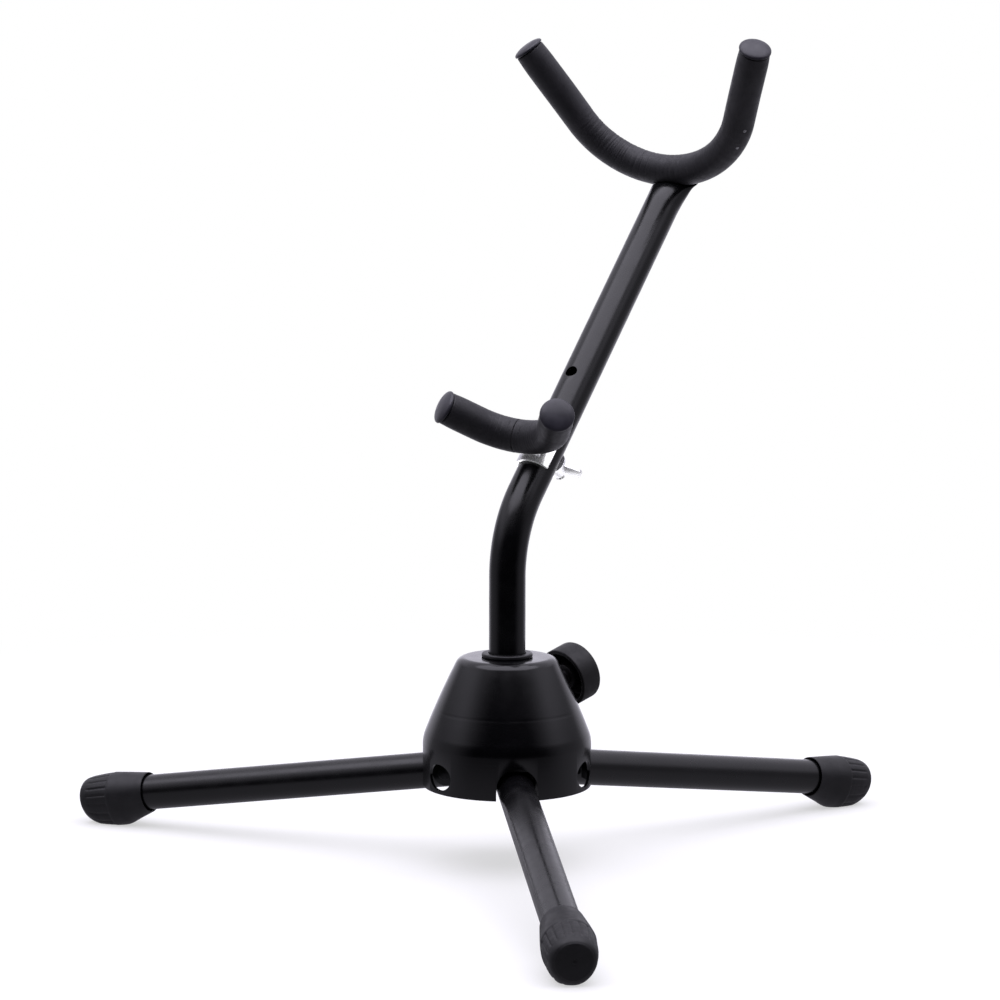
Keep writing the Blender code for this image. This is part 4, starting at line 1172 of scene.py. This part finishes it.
class Studio(NodeKit):
    """Node arithmetic shared by the sky and the floor."""

    def __init__(self, tree):
        super().__init__(tree)
        tree.nodes.clear()

    def dot(self, vector, axis):
        return self.node("VectorMath", {0: vector, 1: tuple(axis)},
                         operation="DOT_PRODUCT").outputs["Value"]

    def by_ray(self, lit, seen):
        """One shader for what the object reflects, another for what is seen directly."""
        direct = self.node("LightPath").outputs["Is Camera Ray"]
        mix = self.node("MixShader", {0: direct, 1: lit.outputs[0], 2: seen.outputs[0]})
        return {"Surface": mix.outputs[0]}

    def brightness(self, depth, rise):
        """Bright towards the back, softer at the sides, dark on the camera's side."""
        back = self.math("ADD", self.ramp(depth, 0.35, 0.85, 0.0, 0.8),
                         self.ramp(depth, 0.90, 1.0, 0.0, 0.6))
        side = self.math("ADD", self.ramp(rise, 0.2, 0.5, 0.0, 0.6), 0.28)
        side = self.math("MULTIPLY", side, self.ramp(depth, -0.75, -0.10))
        return self.math("MAXIMUM", back, side)


def build_world():
    """White to the camera; for the object, a big soft box overhead and a pale sweep behind."""
    world = bpy.data.worlds.new("studio")
    world.use_nodes = True
    bpy.context.scene.world = world
    sky = Studio(world.node_tree)
    direction = sky.node("TexCoord").outputs["Generated"]
    depth, rise = sky.dot(direction, AWAY), sky.dot(direction, UP)
    shifted = rise
    for low, high, shift in OVERHEAD_SHIFTS:
        shifted = sky.math("SUBTRACT", shifted, sky.ramp(depth, low, high, 0.0, shift))
    overhead = sky.ramp(shifted, *OVERHEAD_EDGE, 0.0, OVERHEAD_LEVEL)
    level = sky.math("MAXIMUM", overhead, sky.brightness(depth, rise))
    lit = sky.node("Background", {"Color": LIGHT_TINT, "Strength": level})
    seen = sky.node("Background", {"Color": (1.0, 1.0, 1.0, 1.0), "Strength": 1.0})
    sky.node("OutputWorld", sky.by_ray(lit, seen))


def build_floor():
    """A pale seamless floor. The object sees the sweep's brightness in it, dark in front."""
    mesh = bpy.data.meshes.new("floor")
    far = FLOOR_REACH
    mesh.from_pydata([(-far, -far, 0), (far, -far, 0), (far, far, 0), (-far, far, 0)], [],
                     [(0, 1, 2, 3)])
    floor = new_object("floor", mesh)
    floor.location.z = -FLOOR_DROP
    material = bpy.data.materials.new("floor_white")
    material.use_nodes = True
    ground = Studio(material.node_tree)
    place = ground.node("VectorMath", {
        0: ground.node("TexCoord").outputs["Object"], 1: tuple(HOME),
    }, operation="SUBTRACT").outputs["Vector"]
    distance = ground.node("VectorMath", {0: place}, operation="LENGTH").outputs["Value"]
    direction = ground.node("VectorMath", {0: place}, operation="NORMALIZE").outputs["Vector"]

    level = ground.brightness(ground.dot(direction, AWAY), 0.0)
    near = ground.ramp(distance, *FLOOR_NEAR_SPAN)
    level = ground.math("ADD", ground.math("MULTIPLY", level, near),
                        ground.math("MULTIPLY", ground.math("SUBTRACT", 1.0, near), FLOOR_NEAR))
    sent = ground.node("Emission", {"Color": LIGHT_TINT, "Strength": level})

    lit = ground.node("AddShader", {
        0: ground.node("Emission", {"Strength": FLOOR_GLOW}).outputs[0],
        1: ground.node("BsdfDiffuse", {"Color": (FLOOR_TONE,) * 3 + (1.0,)}).outputs[0],
    })
    white = ground.node("Emission", {"Strength": 1.0})
    seen = ground.node("MixShader", {
        0: ground.ramp(distance, *FLOOR_WHITE_SPAN), 1: lit.outputs[0], 2: white.outputs[0],
    })
    ground.node("OutputMaterial", ground.by_ray(sent, seen))
    mesh.materials.append(material)


def plate_lights(word, share, pieces):
    """Two soft cards that light only the given pieces: one on the floor, one at the right."""
    plate = bpy.data.collections.new(f"{word}_plate")
    for piece in pieces:
        plate.objects.link(bpy.data.objects[piece])
    side = ACROSS * 0.9 - AWAY * 0.42 + UP * 0.67
    cards = (
        (f"{word}_bounce", HOME + UP * 5.0 * MM, UP, BOUNCE_SIZE, BOUNCE_POWER * share),
        (f"{word}_key", HOME + UP * KEY_AIM + side * KEY_DISTANCE, -side, KEY_SIZE,
         KEY_POWER * share),
    )
    for name, place, direction, size, power in cards:
        data = bpy.data.lights.new(name, "AREA")
        data.size = size
        data.energy = power
        light = new_object(name, data)
        light.matrix_world = axis_matrix(place, -direction)
        light.visible_camera = False
        light.light_linking.receiver_collection = plate


def build_studio():
    build_camera()
    build_world()
    build_floor()
    plate_lights("saddle", 1.0, ["saddle"])
    plate_lights("fixing", FIXING_SHARE, ["stud", "washer_piece", "wing_nut_piece"])
    view = bpy.context.scene.view_settings
    view.view_transform = "Standard"
    view.look = "None"


build_hub()
build_legs()
build_clamp()
build_post()
build_yokes()
build_saddle()
build_fixing()
dress_cad_nodes()
build_studio()
